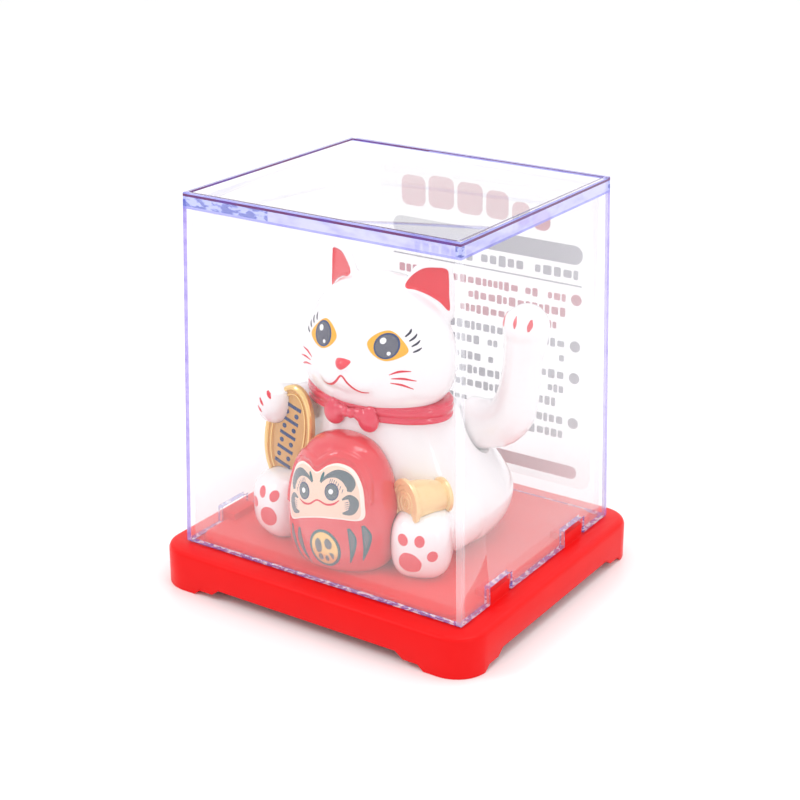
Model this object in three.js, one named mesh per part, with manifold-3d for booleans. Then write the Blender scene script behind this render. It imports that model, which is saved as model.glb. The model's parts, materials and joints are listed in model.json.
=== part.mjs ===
// Boxed beckoning cat: a solar powered waving figure under a clear lift-off cover.
// Millimetres, +Z up, the cat looks along -Y. The origin is the centre of the
// tray's underside, on the surface that the tray's corner feet stand on.
import * as THREE from 'three';
import { mergeVertices } from 'three/addons/utils/BufferGeometryUtils.js';
import Module from 'manifold-3d';

const wasm = await Module();
wasm.setup();

// ---------------------------------------------------------------- dimensions

const GAP = 0.3; // air left between pieces that rest on each other

const COVER = { width: 82, depth: 72.4, height: 91, wall: 1.5, corner: 1.2, chamfer: 0.5 };
const DRAFT = { width: 77.2 / 82, depth: 69.4 / 72.4 }; // the cover's top over its bottom
const RIM = { height: 1.8, panel: 2.8 }; // raised lip round the cover's roof, roof thickness
const NOTCH = { width: 9.8, height: 4.5, offset: 18.3 }; // two in each side wall's bottom edge

const TRAY = { width: 93, depth: 84, height: 10.5, corner: 8.5, wall: 2.2, plate: 2.1, edge: 1.2 };
const PLATFORM = { height: 1.6, corner: 5, chamfer: 0.8, plate: 2.0, inset: 0.3 };
const FOOT = { low: 34.2, midOuter: 32.6, midInner: 28.5, main: 26.4, midRise: 1.4, mainRise: 3.0 };

const FIGURE_X = -1.5; // the cat stands off centre, to leave room for its waving arm
const SKIN = 1.6; // wall of the cat's shells
const FLOOR = TRAY.height + PLATFORM.height; // top of the platform
const SOLE = FLOOR + GAP; // underside of the cat

// Cross-sections of the body from the sole up: height, centre Y, half width, half depth.
const BODY_RINGS = [
  [SOLE, 2.0, 22.5, 19.5],
  [SOLE + 2.0, 2.3, 26.0, 22.4],
  [19.5, 3.2, 29.0, 24.8],
  [25.0, 3.4, 29.2, 25.0],
  [33.0, 1.8, 24.8, 22.2],
  [41.5, -1.2, 20.8, 18.2],
  [47.5, -3.6, 18.4, 15.0],
  [54.0, -6.2, 16.0, 11.0],
];
const BODY_SEAM_Y = 8; // the body's front and rear shells meet in this plane

// The head, from the chin up, in the same terms.
const HEAD_RINGS = [
  [49.0, -8.2, 7.0, 5.0],
  [50.0, -8.2, 14.5, 9.6],
  [53.0, -8.0, 19.0, 12.2],
  [58.0, -7.6, 21.2, 14.0],
  [63.0, -7.2, 21.0, 14.2],
  [69.0, -6.8, 18.8, 13.4],
  [75.0, -6.2, 14.6, 11.2],
  [79.2, -6.0, 8.6, 7.2],
  [80.6, -6.0, 3.0, 2.6],
];
const HEAD_SEAM_Y = 1;
const MUZZLE = { y: -18.2, z: 59.8, half: [8.0, 4.6, 5.4] };
const EAR = { x: 11.4, y: -5.6, baseZ: 68, length: 17.4, radius: 9.2, flat: 0.42, lean: 15, turn: 26 };

const COLLAR = { y: -6.8, z: 49.3, halfWidth: 20.2, halfDepth: 12.4, band: 2.6, height: 5.2, tilt: 2 };
const NECK = { halfWidth: 14.0, halfDepth: 7.4 }; // open throat between head and body

const LEG = { x: 20.4, y: -18.4, z: 20.0, half: [7.5, 8.2, 8.7], splay: 24, blunt: 3.0 };
const HAUNCH = { x: 17.5, y: -5, z: 21.5, half: [11.0, 14.5, 9.2], blunt: 2.2 };
const TAIL = { x: -9, y: 25.5, z: 18.5, half: [9, 5.6, 4.8] };
const FOREARM = { centre: [-19.0, -9.6, 45.0], half: [9.6, 5.2, 5.0], yaw: 30 };
const COIN_PAW = { centre: [-26.4, -16.6, 45.3], half: [4.9, 5.4, 6.5], roll: 12 };

const PIVOT = { y: 8, z: 41.5, recess: 7.1, face: 14.6 }; // the waving arm's axis runs along X
const AXLE = { radius: 1.0, start: -9.9, end: 20.5 };
const ARM_SKIN = 1.3;
// Centre line of the waving arm in the plane of the pivot: X, Z and radius.
const ARM_PATH = [
  [15.2, 41.5, 6.3],
  [20.5, 41.7, 6.3],
  [25.4, 43.6, 6.1],
  [28.4, 47.6, 5.7],
  [29.7, 53.5, 5.1],
  [30.5, 60.0, 4.9],
  [31.1, 65.5, 5.3],
  [31.3, 69.4, 5.6],
];

const DARUMA = { y: -23.2, halfWidth: 15.0, halfDepth: 10.6, height: 32.8, lean: 0.05 };
// Its outline as shares of half width and height, from the base up.
const DARUMA_OUTLINE = [
  [0.8, 0], [0.91, 0.06], [0.98, 0.18], [1, 0.34], [0.96, 0.54], [0.83, 0.75], [0.58, 0.92], [0.28, 0.99],
];
const KOBAN = { x: -22.0, y: -17.6, z: 38.6, halfWidth: 8.2, halfLength: 13.8, thick: 2.0, lean: 13 };
const MALLET = { face: [16.0, -22.4, 30.4], end: [20.8, -12.0, 30.0], radius: 5.1, rim: 6.0 };

const CELL = { width: 22, height: 14, thick: 1.2, y: 22.9, z: 34.6, tilt: 37, frame: 1.8 };
const BOARD = { wideX: [-10.4, 7.4], wideY: [-1.4, 4.2], x: [-7.2, 4.2], y: [2, 17.4], z: 16.8, thick: 1.0 };
const FRAME = { plateZ: 14.9, plate: 1.5, x: [-12.9, 9.9], y: [-7.2, 18.4] };
const UPRIGHT = { thick: 1.8, left: -9.4, right: 4.6, width: 5 };
const COIL = { radius: 5.6, bore: 1.6, height: 2.6 };
const CAPACITOR = { x: 4.7, y: 1.4, radius: 2.2, height: 6.5 };
const CHIP = { x: [-9.8, -6.2], y: [-0.8, 2.8], thick: 1.1 };
const SOLE_PLATE = { halfWidth: 20.4, halfDepth: 17.4, thick: 1.9, slack: 0.5, pillar: 2.9, pillarHeight: 6 };
const PENDULUM = { x: -1.5, thick: 3.0, weight: [7.2, 8.4, 6.6], bottom: 22.6 };
const MAGNET = { radius: 3.4, height: 2.4 };
const SCREW = { shaft: 1.1, head: 2.5, headHeight: 1.6, hole: 1.5 };
const BASE_SCREWS = [[FIGURE_X - 16, 2], [FIGURE_X + 16, 2]]; // X and Y of each
const FRAME_SCREWS = [[-10, -4.6], [7, -4.6]];

const LABEL = { width: 65, height: 82, thick: 0.12, lift: 0.1, x: 3, z: 57 }; // outside the rear wall

// ----------------------------------------------------------- shape functions

// Turn a closed three.js geometry into a solid, dropping the slivers at its poles.
function solid(geometry) {
  const bare = geometry.clone();
  bare.deleteAttribute('normal');
  bare.deleteAttribute('uv');
  const welded = mergeVertices(bare, 1e-4);
  const index = welded.index.array;
  const triangles = [];
  for (let i = 0; i < index.length; i += 3) {
    const [a, b, c] = [index[i], index[i + 1], index[i + 2]];
    if (a !== b && b !== c && c !== a) triangles.push(a, b, c);
  }
  return new wasm.Manifold(new wasm.Mesh({
    numProp: 3,
    vertProperties: new Float32Array(welded.attributes.position.array),
    triVerts: new Uint32Array(triangles),
  }));
}

function join(...solids) {
  return solids.reduce((whole, next) => whole.add(next));
}

function cut(whole, ...tools) {
  return tools.reduce((rest, tool) => rest.subtract(tool), whole);
}

function box([x0, x1], [y0, y1], [z0, z1]) {
  const geometry = new THREE.BoxGeometry(x1 - x0, y1 - y0, z1 - z0);
  geometry.translate((x0 + x1) / 2, (y0 + y1) / 2, (z0 + z1) / 2);
  return solid(geometry);
}

// An ellipsoid, turned about Z by yaw and about Y by roll, in degrees. Where blunt
// is over 2 the form is fuller at its ends, towards a box with rounded corners.
function ellipsoid(centre, half, { yaw = 0, roll = 0, grow = 0, sides = 24, blunt = 2 } = {}) {
  const geometry = new THREE.SphereGeometry(1, sides, Math.round(sides * 0.6));
  geometry.rotateX(Math.PI / 2);
  const position = geometry.attributes.position;
  for (let i = 0; i < position.count; i += 1) {
    const point = new THREE.Vector3().fromBufferAttribute(position, i);
    const sum = point.toArray().reduce((total, part) => total + Math.abs(part) ** blunt, 0);
    point.multiplyScalar(1 / sum ** (1 / blunt));
    position.setXYZ(i, point.x, point.y, point.z);
  }
  geometry.scale(...half.map((radius) => radius + grow));
  geometry.rotateY(THREE.MathUtils.degToRad(roll));
  geometry.rotateZ(THREE.MathUtils.degToRad(yaw));
  geometry.translate(...centre);
  return solid(geometry);
}

// A cylinder or cone between two points.
function rod(from, to, radius, { endRadius = radius, sides = 18 } = {}) {
  const start = new THREE.Vector3(...from);
  const axis = new THREE.Vector3(...to).sub(start);
  const geometry = new THREE.CylinderGeometry(endRadius, radius, axis.length(), sides);
  geometry.translate(0, axis.length() / 2, 0);
  const turn = new THREE.Quaternion().setFromUnitVectors(new THREE.Vector3(0, 1, 0), axis.normalize());
  geometry.applyQuaternion(turn);
  geometry.translate(...from);
  return solid(geometry);
}

function roundedRectangle(width, depth, radius) {
  const [x, y] = [width / 2, depth / 2];
  const shape = new THREE.Shape();
  shape.moveTo(x, -y + radius);
  shape.lineTo(x, y - radius);
  shape.absarc(x - radius, y - radius, radius, 0, Math.PI / 2);
  shape.lineTo(-x + radius, y);
  shape.absarc(-x + radius, y - radius, radius, Math.PI / 2, Math.PI);
  shape.lineTo(-x, -y + radius);
  shape.absarc(-x + radius, -y + radius, radius, Math.PI, Math.PI * 1.5);
  shape.lineTo(x - radius, -y);
  shape.absarc(x - radius, -y + radius, radius, Math.PI * 1.5, Math.PI * 2);
  return shape;
}

// A plate with rounded corners, its top edge chamfered where asked.
function plate(width, depth, radius, z0, z1, { chamfer = 0, curveSegments = 5 } = {}) {
  const shape = roundedRectangle(width - 2 * chamfer, depth - 2 * chamfer, radius - chamfer);
  const geometry = new THREE.ExtrudeGeometry(shape, {
    depth: z1 - z0 - 2 * chamfer,
    bevelEnabled: chamfer > 0,
    bevelThickness: chamfer,
    bevelSize: chamfer,
    bevelSegments: 2,
    curveSegments,
  });
  geometry.translate(0, 0, z0 + chamfer);
  return solid(geometry);
}

// A closed body through elliptical rings, each set in by the wall thickness given.
function ringBody(rings, inset, { sides = 24, levels = 11 } = {}) {
  const sizes = new THREE.CatmullRomCurve3(rings.map(([, y, a, b]) => new THREE.Vector3(y, a, b)));
  const heights = new THREE.CatmullRomCurve3(rings.map(([z]) => new THREE.Vector3(z, 0, 0)));
  const profile = [new THREE.Vector2(0, 0)];
  for (let level = 0; level <= levels; level += 1) profile.push(new THREE.Vector2(1, level));
  profile.push(new THREE.Vector2(0, levels));
  const geometry = new THREE.LatheGeometry(profile, sides);
  const position = geometry.attributes.position;
  for (let i = 0; i < position.count; i += 1) {
    const part = position.getY(i) / levels;
    const size = sizes.getPoint(part);
    const height = heights.getPoint(part).x;
    const ends = heights.getPoint(1).x - heights.getPoint(0).x;
    const squeeze = (ends - 2 * inset) / ends;
    const z = heights.getPoint(0).x + inset + (height - heights.getPoint(0).x) * squeeze;
    const x = position.getX(i) * Math.max(size.y - inset, 0.4);
    const y = size.x - position.getZ(i) * Math.max(size.z - inset, 0.4);
    position.setXYZ(i, x + FIGURE_X, y, z);
  }
  return solid(geometry);
}

// A half space as a large box, on the side of Y that is asked for.
function behind(y) {
  return box([-100, 100], [y, 200], [-50, 200]);
}

function inFrontOf(y) {
  return box([-100, 100], [-200, y], [-50, 200]);
}

// Upright holes right through, at each X and Y given.
function screwHoles(places, radius) {
  return places.map(([x, y]) => rod([x, y, 0], [x, y, 40], radius, { sides: 12 }));
}

// Move a solid made about the origin: tilt about X in degrees, then shift.
function tilted(whole, tilt, [x, y, z]) {
  return whole.rotate([tilt, 0, 0]).translate([x, y, z]);
}

// -------------------------------------------------------------- tray and cover

function makeTray() {
  const { width, depth, height, corner, wall, edge } = TRAY;
  const outer = plate(width, depth, corner, -edge, height, { chamfer: edge })
    .intersect(box([-60, 60], [-60, 60], [0, 60]));
  const inner = { width: COVER.width - 2 * COVER.wall, depth: COVER.depth - 2 * COVER.wall };
  const topWidth = inner.width - 2 * PLATFORM.inset;
  const topDepth = inner.depth - 2 * PLATFORM.inset;
  const { corner: round, chamfer } = PLATFORM;
  const platform = plate(topWidth, topDepth, round, height - 3, FLOOR, { chamfer });
  const underside = plate(width - 2 * wall, depth - 2 * wall, corner - wall, -1, height - TRAY.plate);
  const well = plate(topWidth - 6, topDepth - 6, 3, 0, FLOOR - PLATFORM.plate, { curveSegments: 3 });
  let tray = cut(join(outer, platform, ...makeLugs(topWidth / 2)), underside, well);
  tray = cut(tray, skirtCut(0), skirtCut(90));
  return cut(tray, ...screwHoles(BASE_SCREWS, SCREW.hole));
}

// Four lugs on the platform's sides fill the notches in the cover's side walls.
function makeLugs(edgeX) {
  const lugs = [];
  for (const side of [-1, 1]) {
    for (const end of [-1, 1]) {
      const x = [side * (edgeX - 3), side * (COVER.width / 2 - 0.3)].sort((a, b) => a - b);
      const y = [end * NOTCH.offset - NOTCH.width / 2 + 0.5, end * NOTCH.offset + NOTCH.width / 2 - 0.5];
      lugs.push(box(x, y, [TRAY.height - 1, TRAY.height + 3.4]));
    }
  }
  return lugs;
}

// The stepped cut under one pair of skirts, which leaves the corner feet standing.
function skirtCut(turn) {
  const { low, midOuter, midInner, main, midRise, mainRise } = FOOT;
  const shape = new THREE.Shape();
  shape.moveTo(-low, -1);
  shape.lineTo(-low, 0);
  shape.lineTo(-midOuter, midRise);
  shape.lineTo(-midInner, midRise);
  shape.lineTo(-main, mainRise);
  shape.lineTo(main, mainRise);
  shape.lineTo(midInner, midRise);
  shape.lineTo(midOuter, midRise);
  shape.lineTo(low, 0);
  shape.lineTo(low, -1);
  const geometry = new THREE.ExtrudeGeometry(shape, { depth: 120, bevelEnabled: false });
  geometry.translate(0, 0, -60);
  geometry.rotateX(Math.PI / 2);
  geometry.rotateZ(THREE.MathUtils.degToRad(turn));
  return solid(geometry);
}

function makeCover() {
  const { width, depth, height, wall, corner, chamfer } = COVER;
  const z0 = TRAY.height + GAP;
  const z1 = z0 + height;
  const inner = [width - 2 * wall, depth - 2 * wall, corner];
  const shell = cut(
    plate(width, depth, corner, z0, z1, { chamfer, curveSegments: 3 }),
    plate(...inner, z0 - 1, z1 - RIM.height - RIM.panel, { curveSegments: 3 }),
    plate(...inner, z1 - RIM.height, z1 + 1, { curveSegments: 3 }),
  );
  const notches = [-1, 1].map((end) => {
    const y = [end * NOTCH.offset - NOTCH.width / 2, end * NOTCH.offset + NOTCH.width / 2];
    return box([-width, width], y, [0, z0 + NOTCH.height]);
  });
  return cut(shell, ...notches).warp((point) => {
    const rise = (point[2] - z0) / height;
    point[0] *= 1 - rise * (1 - DRAFT.width);
    point[1] *= 1 - rise * (1 - DRAFT.depth);
  });
}

function makeLabel() {
  const slope = (COVER.depth * (1 - DRAFT.depth)) / 2 / COVER.height;
  const y0 = COVER.depth / 2 - slope * (LABEL.z - TRAY.height - GAP) + LABEL.lift;
  const film = box([-LABEL.width / 2, LABEL.width / 2], [0, LABEL.thick], [-LABEL.height / 2, LABEL.height / 2]);
  return film.rotate([THREE.MathUtils.radToDeg(Math.atan(slope)), 0, 0]).translate([LABEL.x, y0, LABEL.z]);
}

// ---------------------------------------------------------------- cat's shells

function limb({ x, y, z, half, splay = 0, blunt }, side, grow) {
  return ellipsoid([FIGURE_X + side * x, y, z], half, { yaw: side * splay, grow, blunt, sides: 16 });
}

// The arm that holds the coin is fixed: a forearm and a paw, one with the front shell.
function coinArm(grow) {
  return join(
    ellipsoid(FOREARM.centre, FOREARM.half, { yaw: FOREARM.yaw, grow, sides: 14 }),
    ellipsoid(COIN_PAW.centre, COIN_PAW.half, { roll: COIN_PAW.roll, grow, sides: 16 }),
  );
}

function bodyOuter(grow = 0) {
  const above = box([-100, 100], [-100, 100], [SOLE, 100]);
  const limbs = [-1, 1].flatMap((side) => [limb(LEG, side, grow), limb(HAUNCH, side, grow)]);
  const tail = ellipsoid([TAIL.x, TAIL.y, TAIL.z], TAIL.half, { grow, sides: 14 });
  return join(ringBody(BODY_RINGS, -grow), ...limbs, tail, coinArm(grow)).intersect(above);
}

function bodyHollow() {
  const { recess, face, y, z } = PIVOT;
  const above = box([-100, 100], [-100, 100], [SOLE + 2, 47]);
  const legs = [-1, 1].map((side) => limb(LEG, side, -SKIN));
  const hollow = join(ringBody(BODY_RINGS, SKIN, { levels: 8, sides: 20 }), ...legs);
  const boss = rod([face - SKIN - 0.4, y, z], [40, y, z], recess + SKIN, { sides: 24 });
  return cut(hollow.intersect(above), boss);
}

// An upright elliptical cylinder on the cat's centre line.
function ellipticalRod(y, halfWidth, halfDepth, z0, z1) {
  const round = rod([0, 0, z0], [0, 0, z1], 1, { sides: 24 });
  return round.scale([halfWidth, halfDepth, 1]).translate([FIGURE_X, y, 0]);
}

// Room for the collar: a tilted ring, with its own clearance, cut from head and body.
function collarRoom() {
  const { halfWidth, halfDepth, band, height, tilt, y, z } = COLLAR;
  const half = height / 2 + GAP;
  const ring = (a, b) => rod([0, 0, -half], [0, 0, half], 1, { sides: 28 }).scale([a, b, 1]);
  const room = cut(ring(40, 40), ring(halfWidth - band - GAP, halfDepth - band - GAP).scale([1, 1, 2]));
  return tilted(room, -tilt, [FIGURE_X, y, z]);
}

// The space above or below the tilted plane in which the head meets the body.
function neckSide(side) {
  const slab = box([-100, 100], [-100, 100], side > 0 ? [GAP / 2, 100] : [-100, -GAP / 2]);
  return tilted(slab, -COLLAR.tilt, [FIGURE_X, COLLAR.y, COLLAR.z]);
}

function throat() {
  return ellipticalRod(COLLAR.y, NECK.halfWidth, NECK.halfDepth, 44, 58);
}

// The frame on the cat's back that the solar cell sits in, in the cell's own axes.
function cellBlock(margin, low, high) {
  const x = CELL.width / 2 + margin;
  const z = CELL.height / 2 + margin;
  const block = box([-x, x], [-z, z], [low, high]);
  return tilted(block, CELL.tilt - 90, [FIGURE_X, CELL.y, CELL.z]);
}

function makeBodyShells() {
  const { face, recess, y, z } = PIVOT;
  const outer = join(bodyOuter(), cellBlock(CELL.frame, -6, 0.9)).intersect(neckSide(-1));
  const shoulder = rod([face, y, z], [60, y, z], recess, { sides: 24 });
  const axleHole = rod([0, y, z], [60, y, z], AXLE.radius + 0.4, { sides: 12 });
  const { halfWidth, halfDepth, slack } = SOLE_PLATE;
  const opening = ellipticalRod(BODY_RINGS[0][1], halfWidth + slack, halfDepth + slack, 0, SOLE + 3);
  const hollow = cut(bodyHollow(), cellBlock(CELL.frame, -2.4, 5));
  const window = cellBlock(GAP, -CELL.thick, 5);
  const wireHole = cellBlock(-4.5, -20, 5);
  const figure = cut(outer, hollow, opening, throat(), collarRoom(), shoulder, axleHole, window, wireHole);
  return {
    front: figure.intersect(inFrontOf(BODY_SEAM_Y - GAP / 2)),
    rear: figure.intersect(behind(BODY_SEAM_Y + GAP / 2)),
  };
}

function makeEar(side) {
  const cone = rod([0, 0, 0], [0, 0, EAR.length], EAR.radius, { endRadius: 1.2, sides: 18 });
  return cone
    .scale([1, EAR.flat, 1])
    .rotate([-6, side * EAR.lean, 0])
    .rotate([0, 0, side * EAR.turn])
    .translate([FIGURE_X + side * EAR.x, EAR.y, EAR.baseZ]);
}

function makeHeadShells() {
  const muzzle = ellipsoid([FIGURE_X, MUZZLE.y, MUZZLE.z], MUZZLE.half);
  const whole = join(ringBody(HEAD_RINGS, 0, { levels: 12 }), muzzle, makeEar(-1), makeEar(1));
  const skull = whole.intersect(neckSide(1));
  const aboveCollar = box([-100, 100], [-100, 100], [56.4, 100]);
  const hollow = ringBody(HEAD_RINGS, SKIN, { levels: 8, sides: 20 }).intersect(aboveCollar);
  const head = cut(skull, hollow, throat(), collarRoom());
  return {
    front: head.intersect(inFrontOf(HEAD_SEAM_Y - GAP / 2)),
    rear: head.intersect(behind(HEAD_SEAM_Y + GAP / 2)),
  };
}

// A ribbed band with a small bow, which hides the joint of head and body.
function makeCollar() {
  const { halfWidth, halfDepth, band, height, tilt, y, z } = COLLAR;
  const half = height / 2;
  const ribs = [-half, -half * 0.45, 0, half * 0.45, half];
  const bulge = [-0.6, 0, -0.5, 0, -0.6];
  const profile = ribs.map((rise, i) => new THREE.Vector2(1 + bulge[i] / halfWidth, rise));
  profile.push(new THREE.Vector2(1 - band / halfWidth, half));
  profile.push(new THREE.Vector2(1 - band / halfWidth, -half));
  profile.push(profile[0].clone());
  const ring = new THREE.LatheGeometry(profile, 28);
  const position = ring.attributes.position;
  for (let i = 0; i < position.count; i += 1) {
    const [across, along] = [position.getX(i), position.getZ(i)];
    const inward = (1 - Math.hypot(across, along)) * (halfWidth - halfDepth);
    position.setXYZ(i, across * halfWidth, -along * (halfDepth - inward), position.getY(i));
  }
  const bow = [
    ellipsoid([0, -halfDepth - 0.7, -0.6], [2.0, 1.5, 2.0], { sides: 12 }),
    ellipsoid([-3.9, -halfDepth - 0.2, -1.6], [3.4, 1.3, 2.5], { roll: -24, sides: 12 }),
    ellipsoid([3.9, -halfDepth - 0.2, -1.6], [3.4, 1.3, 2.5], { roll: 24, sides: 12 }),
  ];
  const room = rod([0, 0, -9], [0, 0, 9], 1, { sides: 28 });
  const bows = bow.map((wing) => cut(wing, room.scale([halfWidth - band, halfDepth - band, 1])));
  return tilted(join(solid(ring), ...bows), -tilt, [FIGURE_X, y, z]);
}

// ------------------------------------------------------------- what it carries

// The round doll between the cat's feet, an egg flattened against the belly.
function makeDaruma() {
  const { halfWidth, halfDepth, height, lean, y } = DARUMA;
  const curve = new THREE.SplineCurve(DARUMA_OUTLINE.map(([r, h]) => new THREE.Vector2(r, h)));
  const profile = [new THREE.Vector2(0, 0), ...curve.getPoints(10), new THREE.Vector2(0, 1)];
  const geometry = new THREE.LatheGeometry(profile, 26);
  const position = geometry.attributes.position;
  for (let i = 0; i < position.count; i += 1) {
    const rise = position.getY(i) * height;
    const back = -position.getZ(i) * halfDepth + rise * lean;
    position.setXYZ(i, position.getX(i) * halfWidth, back, rise);
  }
  geometry.translate(FIGURE_X, y, SOLE);
  return cut(solid(geometry), bodyOuter(2 * GAP));
}

// The oval coin under the paw: a flat plate with a raised rim.
function makeKoban() {
  const { x, y, z, halfWidth, halfLength, thick, lean } = KOBAN;
  const oval = (a, b, low, high) => rod([0, 0, low], [0, 0, high], 1, { sides: 24 }).scale([a, b, 1]);
  const coin = cut(
    oval(halfWidth, halfLength, -thick / 2, thick / 2),
    oval(halfWidth - 1.1, halfLength - 1.1, thick / 2 - 0.45, thick),
  );
  const placed = coin.rotate([90, lean, -6]).translate([x, y, z]);
  return cut(placed, bodyOuter(GAP), collarSpace());
}

// The mallet's head: a barrel with a flared rim at each end and a ringed face.
function makeMallet() {
  const { face, end, radius, rim } = MALLET;
  const start = new THREE.Vector3(...face);
  const axis = new THREE.Vector3(...end).sub(start);
  const length = axis.length();
  const rings = [[0, 0.5], [1.2, 0.5], [1.2, 0], [2.6, 0.1], [2.6, 0.5], [4.2, 0.5], [4.2, 0], [rim, 0]];
  const barrel = [[rim, 1.3], [radius, 2.1], [radius + 0.5, length / 2], [radius, length - 2.1]];
  const back = [[rim, length - 1.3], [rim, length], [0, length]];
  const profile = [...rings, ...barrel, ...back].map(([r, h]) => new THREE.Vector2(r, h));
  const geometry = new THREE.LatheGeometry(profile, 20);
  const turn = new THREE.Quaternion().setFromUnitVectors(new THREE.Vector3(0, 1, 0), axis.normalize());
  geometry.applyQuaternion(turn);
  geometry.translate(...face);
  return cut(solid(geometry), bodyOuter(GAP), makeDarumaSpace());
}

function makeDarumaSpace() {
  const { halfWidth, halfDepth, height, y } = DARUMA;
  const middle = [FIGURE_X, y, SOLE + height * 0.45];
  return ellipsoid(middle, [halfWidth, halfDepth, height * 0.62], { grow: 0.6 });
}

function collarSpace() {
  const { halfWidth, halfDepth, height, tilt, y, z } = COLLAR;
  const half = height / 2 + GAP;
  const disc = rod([0, 0, -half], [0, 0, half], 1, { sides: 28 });
  return tilted(disc.scale([halfWidth + GAP, halfDepth + GAP, 1]), -tilt, [FIGURE_X, y, z]);
}

// ---------------------------------------------------------------- waving arm

// The arm as one round-ended body swept along its centre line.
function armBody(inset) {
  const line = new THREE.CatmullRomCurve3(ARM_PATH.map(([x, z]) => new THREE.Vector3(x, PIVOT.y, z)));
  const radii = new THREE.CatmullRomCurve3(ARM_PATH.map(([, , radius]) => new THREE.Vector3(radius, 0, 0)));
  const [sides, steps, capSteps] = [16, 10, 3];
  const profile = [new THREE.Vector2(0, 0)];
  for (let step = 0; step <= steps + capSteps; step += 1) profile.push(new THREE.Vector2(1, step));
  profile.push(new THREE.Vector2(0, steps + capSteps));
  const geometry = new THREE.LatheGeometry(profile, sides);
  const position = geometry.attributes.position;
  for (let i = 0; i < position.count; i += 1) {
    const step = Math.min(position.getY(i), steps);
    const overrun = (position.getY(i) - step) / capSteps;
    const centre = line.getPoint(step / steps);
    const along = line.getTangent(step / steps);
    const radius = radii.getPoint(step / steps).x - inset;
    const rise = radius * Math.sin(overrun * 1.45);
    const reach = radius * Math.cos(overrun * 1.45);
    const [side, out] = [position.getX(i) * reach, position.getZ(i) * reach];
    const x = centre.x + along.x * rise - along.z * side;
    const z = centre.z + along.z * rise + along.x * side;
    position.setXYZ(i, x, centre.y + out, z);
  }
  return solid(geometry);
}

function makeArm() {
  const bore = rod([0, PIVOT.y, PIVOT.z], [AXLE.end + 1, PIVOT.y, PIVOT.z], AXLE.radius + GAP, { sides: 12 });
  const hollow = armBody(ARM_SKIN).intersect(box([19.8, 60], [-20, 40], [0, 100]));
  return cut(armBody(0), hollow, bore);
}

function makeAxle() {
  return rod([AXLE.start, PIVOT.y, PIVOT.z], [AXLE.end, PIVOT.y, PIVOT.z], AXLE.radius, { sides: 12 });
}

// Rocker on the axle: a ring, a stem and a saddle that holds the weight and magnet.
function makeRocker() {
  const { x, thick, weight, bottom } = PENDULUM;
  const across = [x - thick / 2, x + thick / 2];
  const top = bottom + MAGNET.height + GAP + weight[2] + GAP;
  const ring = rod([across[0], PIVOT.y, PIVOT.z], [across[1], PIVOT.y, PIVOT.z], 2.7);
  const stem = box(across, [PIVOT.y - 1.6, PIVOT.y + 1.6], [top, PIVOT.z - 1.5]);
  const saddle = box([x - 3.4, x + 3.4], [PIVOT.y - 3.6, PIVOT.y + 3.6], [top, top + 1.4]);
  const hole = rod([-40, PIVOT.y, PIVOT.z], [40, PIVOT.y, PIVOT.z], AXLE.radius + GAP, { sides: 12 });
  return cut(join(ring, stem, saddle), hole);
}

function makeWeight() {
  const { x, weight, bottom } = PENDULUM;
  const z0 = bottom + MAGNET.height + GAP;
  const [halfX, halfY] = [weight[0] / 2, weight[1] / 2];
  return box([x - halfX, x + halfX], [PIVOT.y - halfY, PIVOT.y + halfY], [z0, z0 + weight[2]]);
}

function makeMagnet() {
  const { x, bottom } = PENDULUM;
  return rod([x, PIVOT.y, bottom], [x, PIVOT.y, bottom + MAGNET.height], MAGNET.radius, { sides: 24 });
}

function makeRetainer() {
  const x = UPRIGHT.left + UPRIGHT.thick + GAP;
  const ring = rod([x, PIVOT.y, PIVOT.z], [x + 1, PIVOT.y, PIVOT.z], 2.4, { sides: 16 });
  return cut(ring, rod([-40, PIVOT.y, PIVOT.z], [40, PIVOT.y, PIVOT.z], AXLE.radius + 0.1, { sides: 12 }));
}

// ------------------------------------------------------------------ mechanism

function makeSolePlate() {
  const { halfWidth, halfDepth, thick, pillar, pillarHeight } = SOLE_PLATE;
  const outline = ellipticalRod(BODY_RINGS[0][1], halfWidth, halfDepth, SOLE, SOLE + thick);
  const top = SOLE + pillarHeight;
  const pillars = BASE_SCREWS.map(([x, y]) => rod([x, y, SOLE], [x, y, top], pillar, { sides: 16 }));
  return cut(join(outline, ...pillars), ...screwHoles([...BASE_SCREWS, ...FRAME_SCREWS], SCREW.shaft + GAP));
}

// The plastic frame that carries the axle: a floor plate and two uprights.
function makeMechanismFrame() {
  const { thick, left, right, width } = UPRIGHT;
  const floor = box(FRAME.x, FRAME.y, [FRAME.plateZ, FRAME.plateZ + FRAME.plate]);
  const uprights = [left, right].map((x) => join(
    box([x, x + thick], [PIVOT.y - width / 2, PIVOT.y + width / 2], [FRAME.plateZ, PIVOT.z]),
    rod([x, PIVOT.y, PIVOT.z], [x + thick, PIVOT.y, PIVOT.z], width / 2, { sides: 20 }),
  ));
  const bearing = rod([-40, PIVOT.y, PIVOT.z], [40, PIVOT.y, PIVOT.z], AXLE.radius + GAP, { sides: 12 });
  return cut(join(floor, ...uprights), bearing, ...screwHoles(FRAME_SCREWS, SCREW.shaft + GAP));
}

function makeBoard() {
  const z = [BOARD.z, BOARD.z + BOARD.thick];
  return join(box(BOARD.wideX, BOARD.wideY, z), box(BOARD.x, BOARD.y, z));
}

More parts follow.
